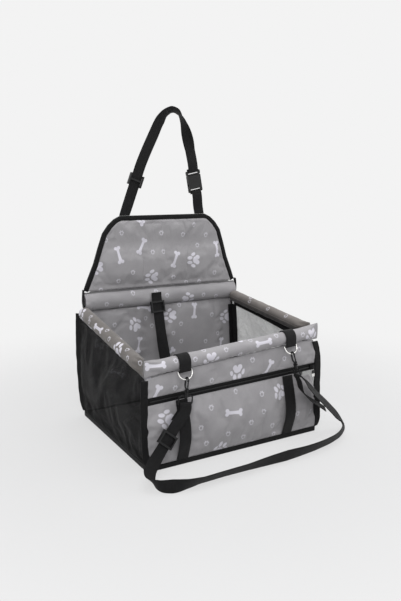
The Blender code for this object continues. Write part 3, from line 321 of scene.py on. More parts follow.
def motif_group():
    """Takes a motif's own place in millimetres, with its kind as Z, and gives the motif's cover."""
    tree = bpy.data.node_groups.new("motif", "ShaderNodeTree")
    tree.interface.new_socket("Place", in_out="INPUT", socket_type="NodeSocketVector")
    tree.interface.new_socket("Cover", in_out="OUTPUT", socket_type="NodeSocketFloat")
    n = Nodes(tree)
    start = tree.nodes.new("NodeGroupInput")
    end = tree.nodes.new("NodeGroupOutput")
    x, y, kind = n.parts(start.outputs[0])
    x = n.math("ABSOLUTE", x)

    def length(first, second):
        return n.math("SQRT", n.plus(n.times(first, first), n.times(second, second)))

    def oval(centre_x, centre_y, half_x, half_y, turn=0.0):
        """About the distance from an oval's edge: below 0 inside."""
        away_x = n.minus(x, centre_x)
        away_y = n.minus(y, centre_y)
        cos, sin = math.cos(math.radians(turn)), math.sin(math.radians(turn))
        along = n.plus(n.times(away_x, cos), n.times(away_y, sin))
        across = n.minus(n.times(away_y, cos), n.times(away_x, sin))
        share = length(n.math("DIVIDE", along, half_x), n.math("DIVIDE", across, half_y))
        return n.times(n.minus(share, 1.0), min(half_x, half_y))

    def union(*fields):
        field = fields[0]
        for other in fields[1:]:
            field = n.math("SMOOTH_MIN", field, other, 1.2)
        return field

    def cover(field, softness=0.35):
        return n.ramp(field, softness, -softness)

    pad = union(oval(0.0, -3.6, 7.6, 6.0), oval(5.6, -9.2, 5.2, 5.6, 20.0))
    toes = n.math("MINIMUM", oval(13.2, 1.2, 3.7, 6.0, 24.0), oval(5.3, 10.4, 3.9, 6.3, 6.0))
    paw = cover(n.math("MINIMUM", pad, toes))

    waist = n.plus(2.9, n.times(n.math("POWER", n.math("DIVIDE", x, 14.5), 2.0), 1.2))
    y_size = n.math("ABSOLUTE", y)
    shaft = n.math("MAXIMUM", n.minus(y_size, waist), n.minus(x, 15.0))
    knob = n.minus(length(n.minus(x, 15.2), n.minus(y_size, 3.6)), 3.9)
    bone = cover(union(shaft, knob))

    ring = n.minus(n.math("ABSOLUTE", oval(0.0, -0.6, 3.3, 3.9)), 0.62)
    beads = n.math("MINIMUM", oval(2.0, 4.1, 1.1, 1.3), oval(4.2, 1.5, 1.0, 1.2))
    dot = cover(n.math("MINIMUM", ring, beads))

    def chosen(wanted, field):
        return n.times(n.math("COMPARE", kind, motif_kinds[wanted], 0.4), field)

    total = n.plus(n.plus(chosen("paw", paw), chosen("bone", bone)), n.times(chosen("dot", dot), 0.8))
    tree.links.new(total, end.inputs[0])
    return tree


motifs_group = motif_group()


def toned(color, share):
    """A colour made lighter or darker by a share."""
    return tuple(min(1.0, part * share) for part in color[:3]) + (1.0,)


def waves(n, place, pitch):
    """The place in turns of a pitch, as radians along the cloth's two ways."""
    return [n.times(part, 2 * math.pi / pitch) for part in n.parts(place)[:2]]


def cloth_material(name, base, shade, printed, painted_shade=None):
    """Plain-woven cloth, with the print, and with painted shade over a sleeve's inner, lower side when a shade colour
    is given.
    """
    material, n, shader = new_material(name)
    place = n.attribute("cloth_place")
    spot = n.spot()
    warp, weft = [n.math("SINE", turn) for turn in waves(n, place, 1.1 * mm)]
    threads = n.times(warp, weft)
    fine = n.noise(spot, 900.0, 1.0)
    tone = n.mix(n.ramp(n.noise(spot, 22.0, 3.0), 0.35, 0.65), shade, base)
    tone = n.mix(n.times(n.ramp(fine, 0.3, 0.7), 0.1), tone, (0.5, 0.5, 0.5, 1.0))
    if printed:
        group = n.add("Group", [(0, n.attribute("motif_place"))], node_tree=motifs_group)
        ink = n.times(group.outputs[0], n.ramp(fine, 0.15, 0.45, 0.9, 0.98))
        tone = n.mix(ink, tone, linear(214, 212, 221))
    # Painted shade, where a shade colour is given: the sleeve darkens from just past its top, round its inner side,
    # towards its underside.
    if painted_shade is not None:
        around = n.parts(place)[1]
        full_turn = 2 * math.pi * sleeve_radius
        wrapped = n.plus(around, n.times(n.math("LESS_THAN", around, -0.01), full_turn))
        tone = n.mix(n.ramp(wrapped, 0.024, 0.052), tone, painted_shade)
    shaded = n.mix(n.ramp(threads, -1.0, 1.0, 0.1, 0.0), tone, (0.02, 0.02, 0.02, 1.0))
    n.dress(shader, Base_Color=shaded, Normal=n.bump(n.times(threads, 0.5), 0.35), Roughness=0.82,
          Sheen_Weight=0.25, Sheen_Roughness=0.4)
    return material


def tape_material(name, color, pitch, depth, roughness, sheen):
    """Ribbed black webbing or binding: ribs along it, with woven picks across and painted shade in their hollows."""
    material, n, shader = new_material(name)
    across, along, _ = n.parts(n.attribute("cloth_place"))
    ribs = n.math("SINE", n.times(across, 2 * math.pi / pitch))
    picks = n.math("SINE", n.plus(n.times(along, 2 * math.pi / (0.8 * pitch)), n.times(across, math.pi / pitch)))
    height = n.plus(ribs, n.times(picks, 0.6))
    tone = n.mix(n.ramp(n.noise(n.spot(), 260.0, 3.0), 0.35, 0.65), color, toned(color, 2.2))
    # Painted shade in the hollows between the ribs and picks.
    tone = n.mix(n.ramp(height, -1.4, 1.4, 0.45, 0.0), tone, (0.0006, 0.0006, 0.0006, 1.0))
    n.dress(shader, Base_Color=tone, Normal=n.bump(height, depth), Roughness=roughness, Specular_IOR_Level=0.16,
          Sheen_Weight=sheen, Sheen_Roughness=0.5)
    return material


def mesh_material(name, color, cover, painted_crease_share, painted_crease_color):
    """Open net: threads round small holes, which let the view through, and slanting streaks of painted crease light:
    painted highlights on a dark net, painted shade on a pale one.
    """
    material, n, shader = new_material(name)
    place = n.attribute("cloth_place")
    holes = n.plus(*[n.math("SINE", turn) for turn in waves(n, place, 1.6 * mm)])
    edge = 3.0 * (cover - 0.5)
    across, along, _ = n.parts(place)
    tone = n.mix(n.noise(n.spot(), 60.0, 3.0), color, toned(color, 0.6))
    slant = n.plus(n.times(across, 15.0), n.times(along, 22.0))
    along_slant = n.minus(n.times(across, 7.0), n.times(along, 5.0))
    streak_place = n.add("CombineXYZ", [(0, slant), (1, along_slant), (2, 0.0)]).outputs[0]
    # Painted crease light: slanting streaks, lighter than the dark net as painted highlights and darker than the pale
    # net as painted shade.
    painted_crease_streak = n.ramp(n.noise(streak_place, 1.0, 3.0), 0.54, 0.72)
    n.dress(shader, Base_Color=n.mix(n.times(painted_crease_streak, painted_crease_share), tone, painted_crease_color),
          Alpha=n.ramp(holes, edge, edge + 0.5, 1.0, 0.0), Roughness=0.75, Specular_IOR_Level=0.12, Sheen_Weight=0.03)
    return material


def plastic_material(name, color, roughness, specular=0.5):
    material, n, shader = new_material(name)
    spot = n.spot()
    wear = n.noise(spot, 90.0, 3.0)
    n.dress(shader, Base_Color=n.mix(n.ramp(wear, 0.4, 0.8), color, toned(color, 1.6)),
          Normal=n.bump(n.noise(spot, 1800.0, 2.0), 0.15, 0.0002), Specular_IOR_Level=specular,
          Roughness=n.ramp(wear, 0.3, 0.7, roughness - 0.06, roughness + 0.08))
    return material


def metal_material(name, color, roughness, metallic=1.0):
    material, n, shader = new_material(name)
    smear = n.noise(n.spot(), 300.0, 3.0)
    n.dress(shader, Base_Color=n.mix(n.ramp(smear, 0.4, 0.7), color, toned(color, 0.86)),
          Roughness=n.ramp(smear, 0.3, 0.7, roughness, roughness + 0.1), Metallic=metallic)
    return material


grey = linear(157, 155, 158)
grey_shade = linear(149, 147, 150)
rail_grey = linear(107, 102, 99)
rail_shade = linear(95, 90, 86)
ink_black = (0.0032, 0.0031, 0.0035, 1.0)
print_cloth = cloth_material("printed_cloth_look", grey, grey_shade, True)
rail_cloth = cloth_material("rail_cloth_look", rail_grey, rail_shade, True)
# The right rail's cloth, with painted shade over the sleeve's inner, lower side.
rail_cloth_with_painted_shade = cloth_material("rail_cloth_with_painted_shade_look", linear(117, 111, 107), linear(104, 98, 94), True, linear(44, 40, 39))
plain_cloth = cloth_material("plain_cloth_look", linear(112, 111, 113), linear(102, 101, 103), False)
webbing = tape_material("webbing_look", ink_black, 1.6 * mm, 0.55, 0.6, 0.03)
binding = tape_material("binding_look", (0.0034, 0.0034, 0.0037, 1.0), 1.1 * mm, 0.4, 0.66, 0.03)
# The dark net's last colour is its painted crease highlight; the pale net's last colour is its painted crease shade.
dark_mesh = mesh_material("dark_mesh_look", (0.003, 0.003, 0.0032, 1.0), 0.9, 0.35, (0.013, 0.013, 0.0134, 1.0))
pale_mesh = mesh_material("pale_mesh_look", (0.88, 0.89, 0.88, 1.0), 0.7, 0.3, (0.66, 0.66, 0.66, 1.0))
black_plastic = plastic_material("black_plastic_look", (0.0045, 0.0045, 0.0048, 1.0), 0.38, 0.34)
steel = metal_material("steel_look", (0.86, 0.85, 0.83, 1.0), 0.14)
black_steel = metal_material("black_steel_look", (0.01, 0.01, 0.011, 1.0), 0.3, 0.6)
pvc = plastic_material("pvc_look", (0.62, 0.62, 0.6, 1.0), 0.42)
board = plastic_material("board_look", (0.06, 0.06, 0.06, 1.0), 0.6)


# Mesh helpers

def piece(name, built, material, body, slot, smooth=True):
    mesh = bpy.data.meshes.new(name)
    built.to_mesh(mesh)
    built.free()
    mesh.materials.append(material)
    if smooth:
        mesh.shade_smooth()
    thing = bpy.data.objects.new(name, mesh)
    scene.collection.objects.link(thing)
    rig.ride(thing, body)
    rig.slot(thing, slot)
    return thing


def set_places(thing, points):
    """Stores each point's place on its flat cloth, in metres."""
    store = thing.data.attributes.new("cloth_place", "FLOAT_VECTOR", "POINT")
    store.data.foreach_set("vector", [value for point in points for value in (*point, 0.0)])


motif_margin = 5.0


def dots(*places):
    """Small paw rings, all upright."""
    return [("dot", x, y, 90) for x, y in places]


def motif_reach(kind, x, y):
    """How far a place is outside a motif's own shape, in millimetres."""
    if kind == "bone":
        return math.hypot(max(abs(x) - 15.0, 0.0), y) - 8.0
    return math.hypot(x, y) - (18.5 if kind == "paw" else 6.0)


def set_motifs(thing, across, along, flat, motifs):
    """Gives each face of a grid its nearest motif, as that motif's own millimetres and its kind."""
    store = thing.data.attributes.new("motif_place", "FLOAT_VECTOR", "CORNER")
    values = [0.0] * (3 * len(thing.data.loops))
    turned = [(kind, x, y, math.cos(math.radians(angle)), math.sin(math.radians(angle)))
              for kind, x, y, angle in motifs]

    def local(motif, spot):
        kind, x, y, cos, sin = motif
        away_x, away_y = (spot[0] - x) / mm, (spot[1] - y) / mm
        first, second = away_x * cos + away_y * sin, away_y * cos - away_x * sin
        return (first, second) if kind == "bone" else (-second, first)

    for face in thing.data.polygons:
        row, column = divmod(face.index, across)
        corners = [flat((column + right) / across, (row + up) / along)
                   for right, up in ((0, 0), (1, 0), (1, 1), (0, 1))]
        centre = [sum(corner[axis] for corner in corners) / 4 for axis in (0, 1)]
        far, motif = min(((motif_reach(motif[0], *local(motif, centre)), motif) for motif in turned),
                         key=lambda pair: pair[0])
        if far > motif_margin:
            continue
        for loop, corner in zip(face.loop_indices, corners):
            values[3 * loop:3 * loop + 3] = [*local(motif, corner), motif_kinds[motif[0]]]
    store.data.foreach_set("vector", values)


def grid(name, across, along, place, flat, material, slot, motifs=None, thickness=None, wrap=False, body="basket"):
    """A cloth grid: place(u, v) gives its points and flat(u, v) their places on the flat cloth."""
    built = bmesh.new()
    rows = []
    points = []
    columns = across if wrap else across + 1
    for step_v in range(along + 1):
        row = []
        for step_u in range(columns):
            u, v = step_u / across, step_v / along
            row.append(built.verts.new(place(u, v)))
            points.append(flat(u, v))
        rows.append(row)
    for step_v in range(along):
        for step_u in range(across):
            right = (step_u + 1) % columns
            built.faces.new((rows[step_v][step_u], rows[step_v][right],
                             rows[step_v + 1][right], rows[step_v + 1][step_u]))
    built.verts.index_update()
    thing = piece(name, built, material, body, slot)
    set_places(thing, points)
    if motifs is not None:
        set_motifs(thing, across, along, flat, motifs)
    if thickness:
        shell = thing.modifiers.new("thickness", "SOLIDIFY")
        shell.thickness = thickness
        shell.offset = 0
        shell.use_even_offset = False
    return thing


def settle(thing, across, along, held, slack=0.03, pressure=4.0, frames=14, cap=0.008):
    """Lets a sewn cloth, cut a little too large, find its folds; held(u, v) is 1 where it is sewn down."""
    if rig.quick():
        return
    mesh = thing.data
    start = [vertex.co.copy() for vertex in mesh.vertices]
    group = thing.vertex_groups.new(name="sewn")
    for index in range(len(start)):
        row, column = divmod(index, across + 1)
        edge = row in (0, along) or column in (0, across)
        weight = 1.0 if edge else held(column / across, row / along)
        if weight > 0:
            group.add([index], weight, "REPLACE")
    shell = thing.modifiers.get("thickness")
    if shell is not None:
        shell.show_viewport = False
    cloth = thing.modifiers.new("cloth", "CLOTH")
    settings = cloth.settings
    settings.quality = 6
    settings.mass = 0.25
    settings.tension_stiffness = 25.0
    settings.compression_stiffness = 25.0
    settings.shear_stiffness = 8.0
    settings.bending_stiffness = 0.15
    settings.vertex_group_mass = "sewn"
    settings.pin_stiffness = 1.0
    settings.shrink_min = -slack
    settings.effector_weights.gravity = 0.0
    settings.use_pressure = True
    settings.uniform_pressure_force = pressure
    cloth.collision_settings.use_collision = False
    cloth.point_cache.frame_start = 1
    cloth.point_cache.frame_end = frames
    for number in range(1, frames + 1):
        scene.frame_set(number)
    settled = thing.evaluated_get(bpy.context.evaluated_depsgraph_get()).data
    moved = [vertex.co.copy() for vertex in settled.vertices]
    thing.modifiers.remove(cloth)
    if shell is not None:
        shell.show_viewport = True
    for vertex, first, last in zip(mesh.vertices, start, moved):
        shift = last - first
        if shift.length > cap:
            shift = shift * (cap / shift.length)
        vertex.co = first + shift
    thing.vertex_groups.remove(group)
    scene.frame_set(1)
    mesh.update()


def edges_only(u, v):
    return 0.0


def sewn_under(place, spots, reach):
    """1 under a strap that is sewn on at one of the spots along x, and 0 away from it."""
    def held(u, v):
        x = place(u, v).x
        return max(0.0, 1.0 - max(0.0, min(abs(x - spot) for spot in spots) - reach) / 0.01)
    return held


def blend(first, second, share):
    return first + (second - first) * share


def arch(share):
    """0 at both ends of 0 to 1, and 1 halfway."""
    return max(math.sin(math.pi * share), 0.0)


def laid(place, first, second):
    """A cloth's flat places, taken from two of its standing coordinates."""
    return lambda u, v: (place(u, v)[first], place(u, v)[second])


def ways(points, closed=False):
    """The way on at each point of a line, from the one before it to the one after."""
    count = len(points)
    found = []
    for index, point in enumerate(points):
        before = points[(index - 1) % count] if closed or index else point
        after = points[(index + 1) % count] if closed or index < count - 1 else point
        found.append((after - before).normalized())
    return found


def slope_at(points, index):
    here = points[index]
    if index == 0:
        return (points[1] - here).normalized()
    if index == len(points) - 1:
        return (here - points[-2]).normalized()
    behind = here - points[index - 1]
    ahead = points[index + 1] - here
    return (behind / behind.length * ahead.length + ahead / ahead.length * behind.length) / (
        behind.length + ahead.length)


def catmull(points, t):
    """A smooth curve through points, at t counted in spans."""
    span = min(int(t), len(points) - 2)
    local = t - span
    start, end = points[span], points[span + 1]
    length = (end - start).length
    tangent_in = slope_at(points, span) * length
    tangent_out = slope_at(points, span + 1) * length
    square = local * local
    cube = square * local
    return (start * (2 * cube - 3 * square + 1) + tangent_in * (cube - 2 * square + local)
            + end * (3 * square - 2 * cube) + tangent_out * (cube - square))


def flat_section(width, thickness, inner):
    """A flat band's outline with half-round edges, as across and out pairs; inner are places on its faces."""
    half, deep = width / 2, thickness / 2
    face = [deep - half, *inner, half - deep]
    edge = [(half - deep * 0.3, deep * 0.7), (half, 0), (half - deep * 0.3, -deep * 0.7)]
    return ([(x, deep) for x in face] + edge + [(x, -deep) for x in reversed(face)]
            + [(-x, -y) for x, y in edge])


def tape_section(width, thickness):
    return flat_section(width, thickness, (-width / 6, width / 6))


web_quarter = (web_width - web_thickness) / 4
web_outline = flat_section(web_width, web_thickness, (-web_quarter, 0, web_quarter))
web_sharp_angle = math.radians(60)


def loft(name, rings, places, material, slot, closed, body):
    """A skin over rings of points, with flat ends where it isn't closed."""
    built = bmesh.new()
    rows = [[built.verts.new(spot) for spot in ring] for ring in rings]
    for ring, following in zip(rows, rows[1:] + (rows[:1] if closed else [])):
        for index in range(len(ring)):
            after = (index + 1) % len(ring)
            built.faces.new((ring[index], ring[after], following[after], following[index]))
    if not closed:
        built.faces.new(list(reversed(rows[0])))
        built.faces.new(rows[-1])
    built.verts.index_update()
    bmesh.ops.recalc_face_normals(built, faces=built.faces)
    thing = piece(name, built, material, body, slot)
    set_places(thing, places)
    return thing


def rows_route(*rows):
    """A route of points and width directions, from rows of six numbers."""
    return [(row[:3], row[3:]) for row in rows]


def strap(name, route, body="basket"):
    """A woven strap along a route of points and width directions; returns the piece, its path and its length."""
    points = [Vector(point) for point, _ in route]
    widths = [Vector(direction).normalized() for _, direction in route]
    spans, steps = len(points) - 1, 6
    rings, places, path = [], [], []
    length = 0.0
    for step in range(spans * steps + 1):
        t = step / steps
        here = catmull(points, t)
        tangent = (catmull(points, min(t + 0.05, spans)) - catmull(points, max(t - 0.05, 0))).normalized()
        span = min(int(t), spans - 1)
        direction = blend(widths[span], widths[span + 1], t - span)
        squared = min(t, spans - t, 1)
        direction = (direction - tangent * direction.dot(tangent) * squared).normalized()
        out = direction.cross(tangent).normalized()
        if path:
            length += (here - path[-1]).length
        path.append(here)
        rings.append([here + direction * across + out * deep for across, deep in web_outline])
        places += [(across, length) for across, _ in web_outline]
    thing = loft(name, rings, places, webbing, "webbing", False, body)
    thing.data.set_sharp_from_angle(angle=web_sharp_angle)
    return thing, path, length


def sweep(name, points, sides, section, material, slot, closed=False, body="basket"):
    """A band swept along points; sides gives each point's across direction, out is square to it."""
    rings, places = [], []
    length = 0.0
    for index, (point, tangent) in enumerate(zip(points, ways(points, closed))):
        across = (sides[index] - tangent * sides[index].dot(tangent)).normalized()
        out = across.cross(tangent).normalized()
        if index:
            length += (point - points[index - 1]).length
        rings.append([point + across * right + out * up for right, up in section])
        places += [(right, length) for right, _ in section]
    return loft(name, rings, places, material, slot, closed, body)


def rim_height(x, y):
    across = (x + rim_half_span) / (2 * rim_half_span)
    deep = (y - rim_front_y) / (rim_back_y - rim_front_y)
    front = blend(rim[(-1, -1)], rim[(1, -1)], across)
    rear = blend(rim[(-1, 1)], rim[(1, 1)], across)
    return blend(front, rear, deep)


def end_flatness(distance):
    """How far a rail's sleeve is pressed flat at a distance from its pinched end."""
    share = min(max(1 - distance / flat_length, 0), 1)
    return share * share * (3 - 2 * share)


def sleeve_halves(distance):
    flatness = end_flatness(distance)
    return blend(sleeve_radius, flat_half_depth, flatness), blend(sleeve_radius, flat_half_height, flatness)


def rail_drop(distance):
    """How far a wall's top stays under a rail's axis."""
    return wall_top_step + (flat_half_height - sleeve_radius) * end_flatness(distance - flat_lead)


def side_rail_x(side):
    return side * (rim_half_span + (left_rail_out if side < 0 else 0))


def side_rail_front_y(side):
    return rim_front_y + sleeve_halves(front_rail_half - abs(side_rail_x(side)) + flat_half_depth)[0] + seam_gap


def band_height(x):
    return blend(band_left, band_right, (x + rim_half_span) / (2 * rim_half_span))


def corner_edge(side, face, v):
    """The line of a basket corner, from its foot (v 0) to the rim (v 1)."""
    bow = {(-1, -1): 0.002, (1, -1): 0.006, (-1, 1): 0.004, (1, 1): 0.003}[(side, face)]
    power = 3.0 if (side, face) == (1, -1) else 1.0
    out = bow * arch(v ** power)
    wider = 0 if side > 0 else 0.01 if face < 0 else 0.015
    x = side * (blend(foot_half_width, top_half_width + wider, v) + out)
    y = blend(face * foot_half_depth, top_front_y if face < 0 else top_back_y, v)
    if face < 0:
        top = rim_height(side_rail_x(side), rim_front_y) - rail_drop(0)
    else:
        top = band_height(side * rim_half_span) - band_half_height - seam_gap
    return Vector((x, y, blend(wall_foot, top, v)))


def zip_height(x):
    return blend(zip_left, zip_right, (x + basket_width / 2) / basket_width)


def front_plane_y(z):
    top = (rim[(-1, -1)] + rim[(1, -1)]) / 2 - wall_top_step
    return blend(-foot_half_depth, top_front_y, (z - wall_foot) / (top - wall_foot))


def front_edge_x(side, z):
    foot = corner_edge(side, -1, 0)
    top = corner_edge(side, -1, 1)
    return corner_edge(side, -1, min(max((z - foot.z) / (top.z - foot.z), 0), 1)).x


def pocket_bulge(u, v):
    return 0.01 * arch(u) ** 0.6 * arch(v)


def ripple(x, y, z, scale, depth):
    """A soft wrinkle height from smooth noise."""
    return depth * noise.noise(Vector((x, y, z)) * scale)


# Places of the front hardware, which the webbing turns round

front_slope = (rim[(1, -1)] - rim[(-1, -1)]) / (2 * rim_half_span)
wrap_out = sleeve_radius + seam_gap + web_thickness / 2


def ring_bar(side):
    x = side * 0.1215
    y = rim_front_y - (sleeve_radius + gap + web_thickness / 2) + ring_wire + gap + web_thickness / 2
    return Vector((x, y, rim_height(x, rim_front_y) - 0.014))


def ring_frame(side):
    level = Matrix.Rotation(-math.atan(front_slope), 4, "Y")
    lean = Matrix.Rotation(-math.radians(25), 4, "X")
    return Matrix.Translation(ring_bar(side)) @ level @ lean


def hook_frame(side, tilt, lean):
    seat = ring_frame(side) @ Vector((0, 0, -0.017))
    return (Matrix.Translation(seat) @ Matrix.Rotation(-math.radians(tilt), 4, "Y")
            @ Matrix.Rotation(-math.radians(lean), 4, "X"))


def eye_bar(hook, turn_degrees):
    """Centre and direction of a hook eye's lower bar."""
    spin = hook @ Matrix.Rotation(math.radians(turn_degrees), 4, "Z")
    return spin @ Vector((0, 0, -0.0467)), (spin.to_3x3() @ Vector((1, 0, 0))).normalized()


def arc(radius, start_degrees, turn_degrees, steps):
    points = []
    for step in range(steps + 1):
        angle = math.radians(start_degrees + turn_degrees * step / steps)
        points.append((radius * math.cos(angle), radius * math.sin(angle)))
    return points


def turn_round(centre, direction, away, start_degrees, turn_degrees, facing=1):
    """Route points round a bar, in the plane square to it."""
    away = (away - direction * away.dot(direction)).normalized()
    other = direction.cross(away)
    return [(centre + away * right + other * up, direction * facing)
            for right, up in arc(eye_turn_radius, start_degrees, turn_degrees, 6)]


left_frame = hook_frame(-1, -7.0, 3.0)
right_frame = hook_frame(1, 8.0, 13.0)
tether_frame = (Matrix.Translation((tether_x, -0.052, 0.0184)) @ Matrix.Rotation(math.radians(90), 4, "X")
                @ Matrix.Rotation(math.radians(90), 4, "Z"))

# The shoulder strap, from the left hook's eye over the floor to the right one's

right_strand = rows_route(
    (0.204, -0.188, 0.056, -0.5, -0.86, -0.1), (0.1802, -0.19, 0.0728, -0.42, -0.9, -0.1),
    (0.1538, -0.192, 0.0918, -0.34, -0.93, -0.1), (0.135, -0.1935, 0.111, -0.2, -0.97, -0.05))
floor_route = rows_route(
    (0.1532, -0.1908, 0.1198, -0.62, -0.76, -0.12), (0.1761, -0.1895, 0.0957, -0.64, -0.74, -0.16),
    (0.2038, -0.1865, 0.0696, -0.68, -0.7, -0.16), (0.2289, -0.1845, 0.0448, -0.78, -0.62, 0.0),
    (0.242, -0.186, 0.03, -0.86, -0.48, 0.2), (0.245, -0.195, 0.02, -0.78, -0.35, 0.5),
    (0.237, -0.208, 0.015, -0.5, -0.45, 0.74), (0.22, -0.2215, 0.0129, -0.33, -0.42, 0.84),
    (0.195, -0.234, 0.012, -0.15, -0.48, 0.86), (0.15, -0.247, 0.0122, -0.04, -0.46, 0.88),
    (0.103, -0.2535, 0.0124, 0.0, -0.4, 0.92), (0.056, -0.256, 0.013, 0.0, -0.2, 0.98),
    (0.011, -0.2565, 0.0126, 0.0, -0.36, 0.93), (-0.039, -0.2575, 0.0118, 0.0, -0.56, 0.83),
    (-0.086, -0.2575, 0.0114, 0.0, -0.6, 0.8), (-0.137, -0.259, 0.0112, -0.02, -0.6, 0.8),
    (-0.167, -0.26, 0.012, 0.05, -0.35, 0.94), (-0.193, -0.256, 0.0128, 0.1, 0.2, 0.97),
    (-0.213, -0.244, 0.0135, -0.3, 0.05, 0.95), (-0.221, -0.227, 0.0165, -0.62, 0.22, 0.75),
    (-0.216, -0.21, 0.0245, -0.85, 0.25, 0.46), (-0.201, -0.1995, 0.0375, -0.88, 0.2, 0.43),
    (-0.187, -0.1945, 0.051, -0.9, 0.05, 0.42), (-0.17, -0.1905, 0.07, -0.9, 0.0, 0.42),
    (-0.1529, -0.1865, 0.0891, -0.9, 0.0, 0.42))
left_bar, left_across = eye_bar(left_frame, 0)
right_bar, right_across = eye_bar(right_frame, 80.0)
over_right = turn_round(right_bar, right_across, Vector((1, 0, -0.9)), 80, 200, -1)
over_left = turn_round(left_bar, left_across, Vector((0, -1, 0)), 10, -200, -1)
below = Vector((0, 0, -web_width / 3))
route = right_strand + over_right + floor_route
route.append((over_left[0][0] + below, -left_across))
route += over_left
route.append((over_left[-1][0] + below, -left_across))
route.append((blend(left_bar, Vector(floor_route[-1][0]), 0.75) + Vector((0, 2 * web_thickness, 0)),
              Vector(floor_route[-1][1])))
shoulder_look, shoulder_path, shoulder_length = strap("shoulder_look", route)
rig.replaces(shoulder_look, "shoulder_strap")
shoulder_path.reverse()
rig.cord(shoulder_look, exit=shoulder_path[0], length=shoulder_length, diameter=web_width, far_end="object",
        stiffness="medium", lay="loose", path=shoulder_path, with_pieces=[frame["nodes"]["shoulder_adjuster"]])

# The tether inside the basket

tether_route = [((tether_x, y, z), (right, turn, 0)) for y, z, right, turn in (
    (0.1434, 0.269, 1, 0), (0.1424, 0.26, 1, 0), (0.1402, 0.25, 1, 0), (0.1367, 0.237, 1, 0), (0.1297, 0.211, 1, 0),
    (0.1214, 0.18, 1, 0), (0.1085, 0.14, 0.93, -0.36), (0.091, 0.1, 0.97, -0.2), (0.069, 0.065, 1, 0),
    (0.045, 0.04, 1, 0), (0.025, 0.0275, 1, 0), (0.01, 0.022, 1, 0))]
tether_bar, tether_across = eye_bar(tether_frame, 90.0)
over_tether = turn_round(tether_bar, tether_across, Vector((0, 1, 0)), 80, 200)[::-1]
tether_route += over_tether
tether_route.append((over_tether[-1][0] + Vector((0, 0.016, 0)), tether_across))
tether_look, tether_path, tether_length = strap("tether_look", tether_route)
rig.replaces(tether_look, "tether_strap")
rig.cord(tether_look, exit=tether_path[0], length=tether_length, diameter=web_width, far_end="fitting",
        stiffness="medium", lay="loose", path=tether_path,
        with_pieces=[frame["nodes"][name] for name in ("tether_adjuster", "tether_hook", "tether_hook_gate",
                                                       "tether_hook_eye")])

# The webbing on the front: the loops round the rail with their rings, and the two sewn straps


def sewn_web(name, points, across, replaced):
    look = sweep(name, points, [Vector(across)] * len(points), web_outline, webbing, "webbing")
    look.data.set_sharp_from_angle(angle=web_sharp_angle)
    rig.replaces(look, replaced)


for side, name in ((-1, "left"), (1, "right")):
    bar = ring_bar(side)
    axis = Vector((bar.x, rim_front_y, rim_height(bar.x, rim_front_y)))
    loop = [(axis.y - out, axis.z + up) for out, up in arc(wrap_out, 232, -232, 44)]
    step = wrap_out - sleeve_radius - gap - web_thickness / 2
    loop += [(bar.y - out - step, bar.z + up) for out, up in arc(ring_wire + gap + web_thickness / 2, 0, -180, 12)]
    sewn_web(name + "_loop_look", [Vector((bar.x, y, z)) for y, z in loop], (1, 0, front_slope), name + "_front_loop")


def pocket_front_y(x, z):
    high = zip_height(x) - zip_band / 2
    v = min(max((z - wall_foot) / (high - wall_foot), 0), 1)
    left, right = front_edge_x(-1, z), front_edge_x(1, z)
    u = min(max((x - left) / (right - left), 0), 1)
    return front_plane_y(z) - pocket_bulge(u, v)


for side, name, x in ((-1, "left", 0.1255), (1, "right", 0.1205)):
    points = []
    for step in range(41):
        v = step / 40
        z = blend(wall_foot, zip_height(side * x) - zip_band / 2 - gap, v)
        seat_y = min(pocket_front_y(side * x + share * web_width, z) for share in (-0.5, 0, 0.5))
        bow = 0.007 * arch(v ** 0.8) ** 2
        points.append(Vector((side * x, seat_y - fabric / 2 - seam_gap - web_thickness / 2 - bow, z)))
    sewn_web(name + "_strap_look", points, (1, 0, 0.02), name + "_front_strap")

# The pocket and the wall over the zip


def edges_x(u, z, inset=0.0012):
    return blend(front_edge_x(-1, z), front_edge_x(1, z), u) - inset * (2 * u - 1)


def pocket_place(u, v):
    x = blend(-foot_half_width, foot_half_width, u)
    z = blend(wall_foot, zip_height(x) - zip_band / 2 - gap, v)
    x = edges_x(u, z)
    corner = max(0, u - 0.86) / 0.14 * max(0, v - 0.66) / 0.34
    x -= 0.016 * corner
    z -= 0.018 * corner * (1 - corner * 0.4)
    hold = arch(u) * arch(v)
    fold = ripple(x, 0.0, z, 26.0, 0.003) + ripple(x + 3.0, 0.0, z, 60.0, 0.001)
    return Vector((x, front_plane_y(z) - pocket_bulge(u, v) - fold * hold ** 0.5 * 0.8, z))


pocket_motifs = [
    ("bone", -0.0173, 0.0883, -7), ("paw", -0.0404, 0.0132, 70), ("paw", 0.097, 0.1068, 117),
    ("paw", -0.1608, 0.1009, 163),
] + dots(
    (-0.0059, 0.1257), (0.0518, 0.1113), (-0.0665, 0.1057), (0.0533, 0.0763), (-0.0887, 0.0697),
    (0.0227, 0.0606), (-0.0296, 0.0473), (0.0091, 0.031), (0.0776, 0.0416), (0.0868, 0.0188),
    (-0.0773, 0.0369), (0.0351, 0.0091), (0.1459, 0.0509), (0.1828, 0.0475))
pocket = grid("pocket_look", 110, 36, pocket_place,
              laid(pocket_place, 0, 2), print_cloth, "printed_cloth", pocket_motifs, panel_thickness)
settle(pocket, 110, 36, sewn_under(pocket_place, (-0.1255, 0.1205), 0.0125), 0.035, 5.0)
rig.replaces(pocket, "front_pocket_panel")
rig.sheet(pocket, flat=(0.396, 0.124), held="stretched")


def upper_place(u, v):
    x = blend(corner_edge(-1, -1, 1).x, corner_edge(1, -1, 1).x, u)
    z = blend(zip_height(x) + zip_band / 2 + gap,
              rim_height(x, rim_front_y) - rail_drop(front_rail_half - abs(x)), v)
    hold = arch(v)
    wave = hold * math.sin(5 * math.pi * u) ** 2
    fold = ripple(x, 1.0, z, 34.0, 0.0022)
    return Vector((edges_x(u, z), front_plane_y(z) - 0.0012 * wave - fold * hold, z))


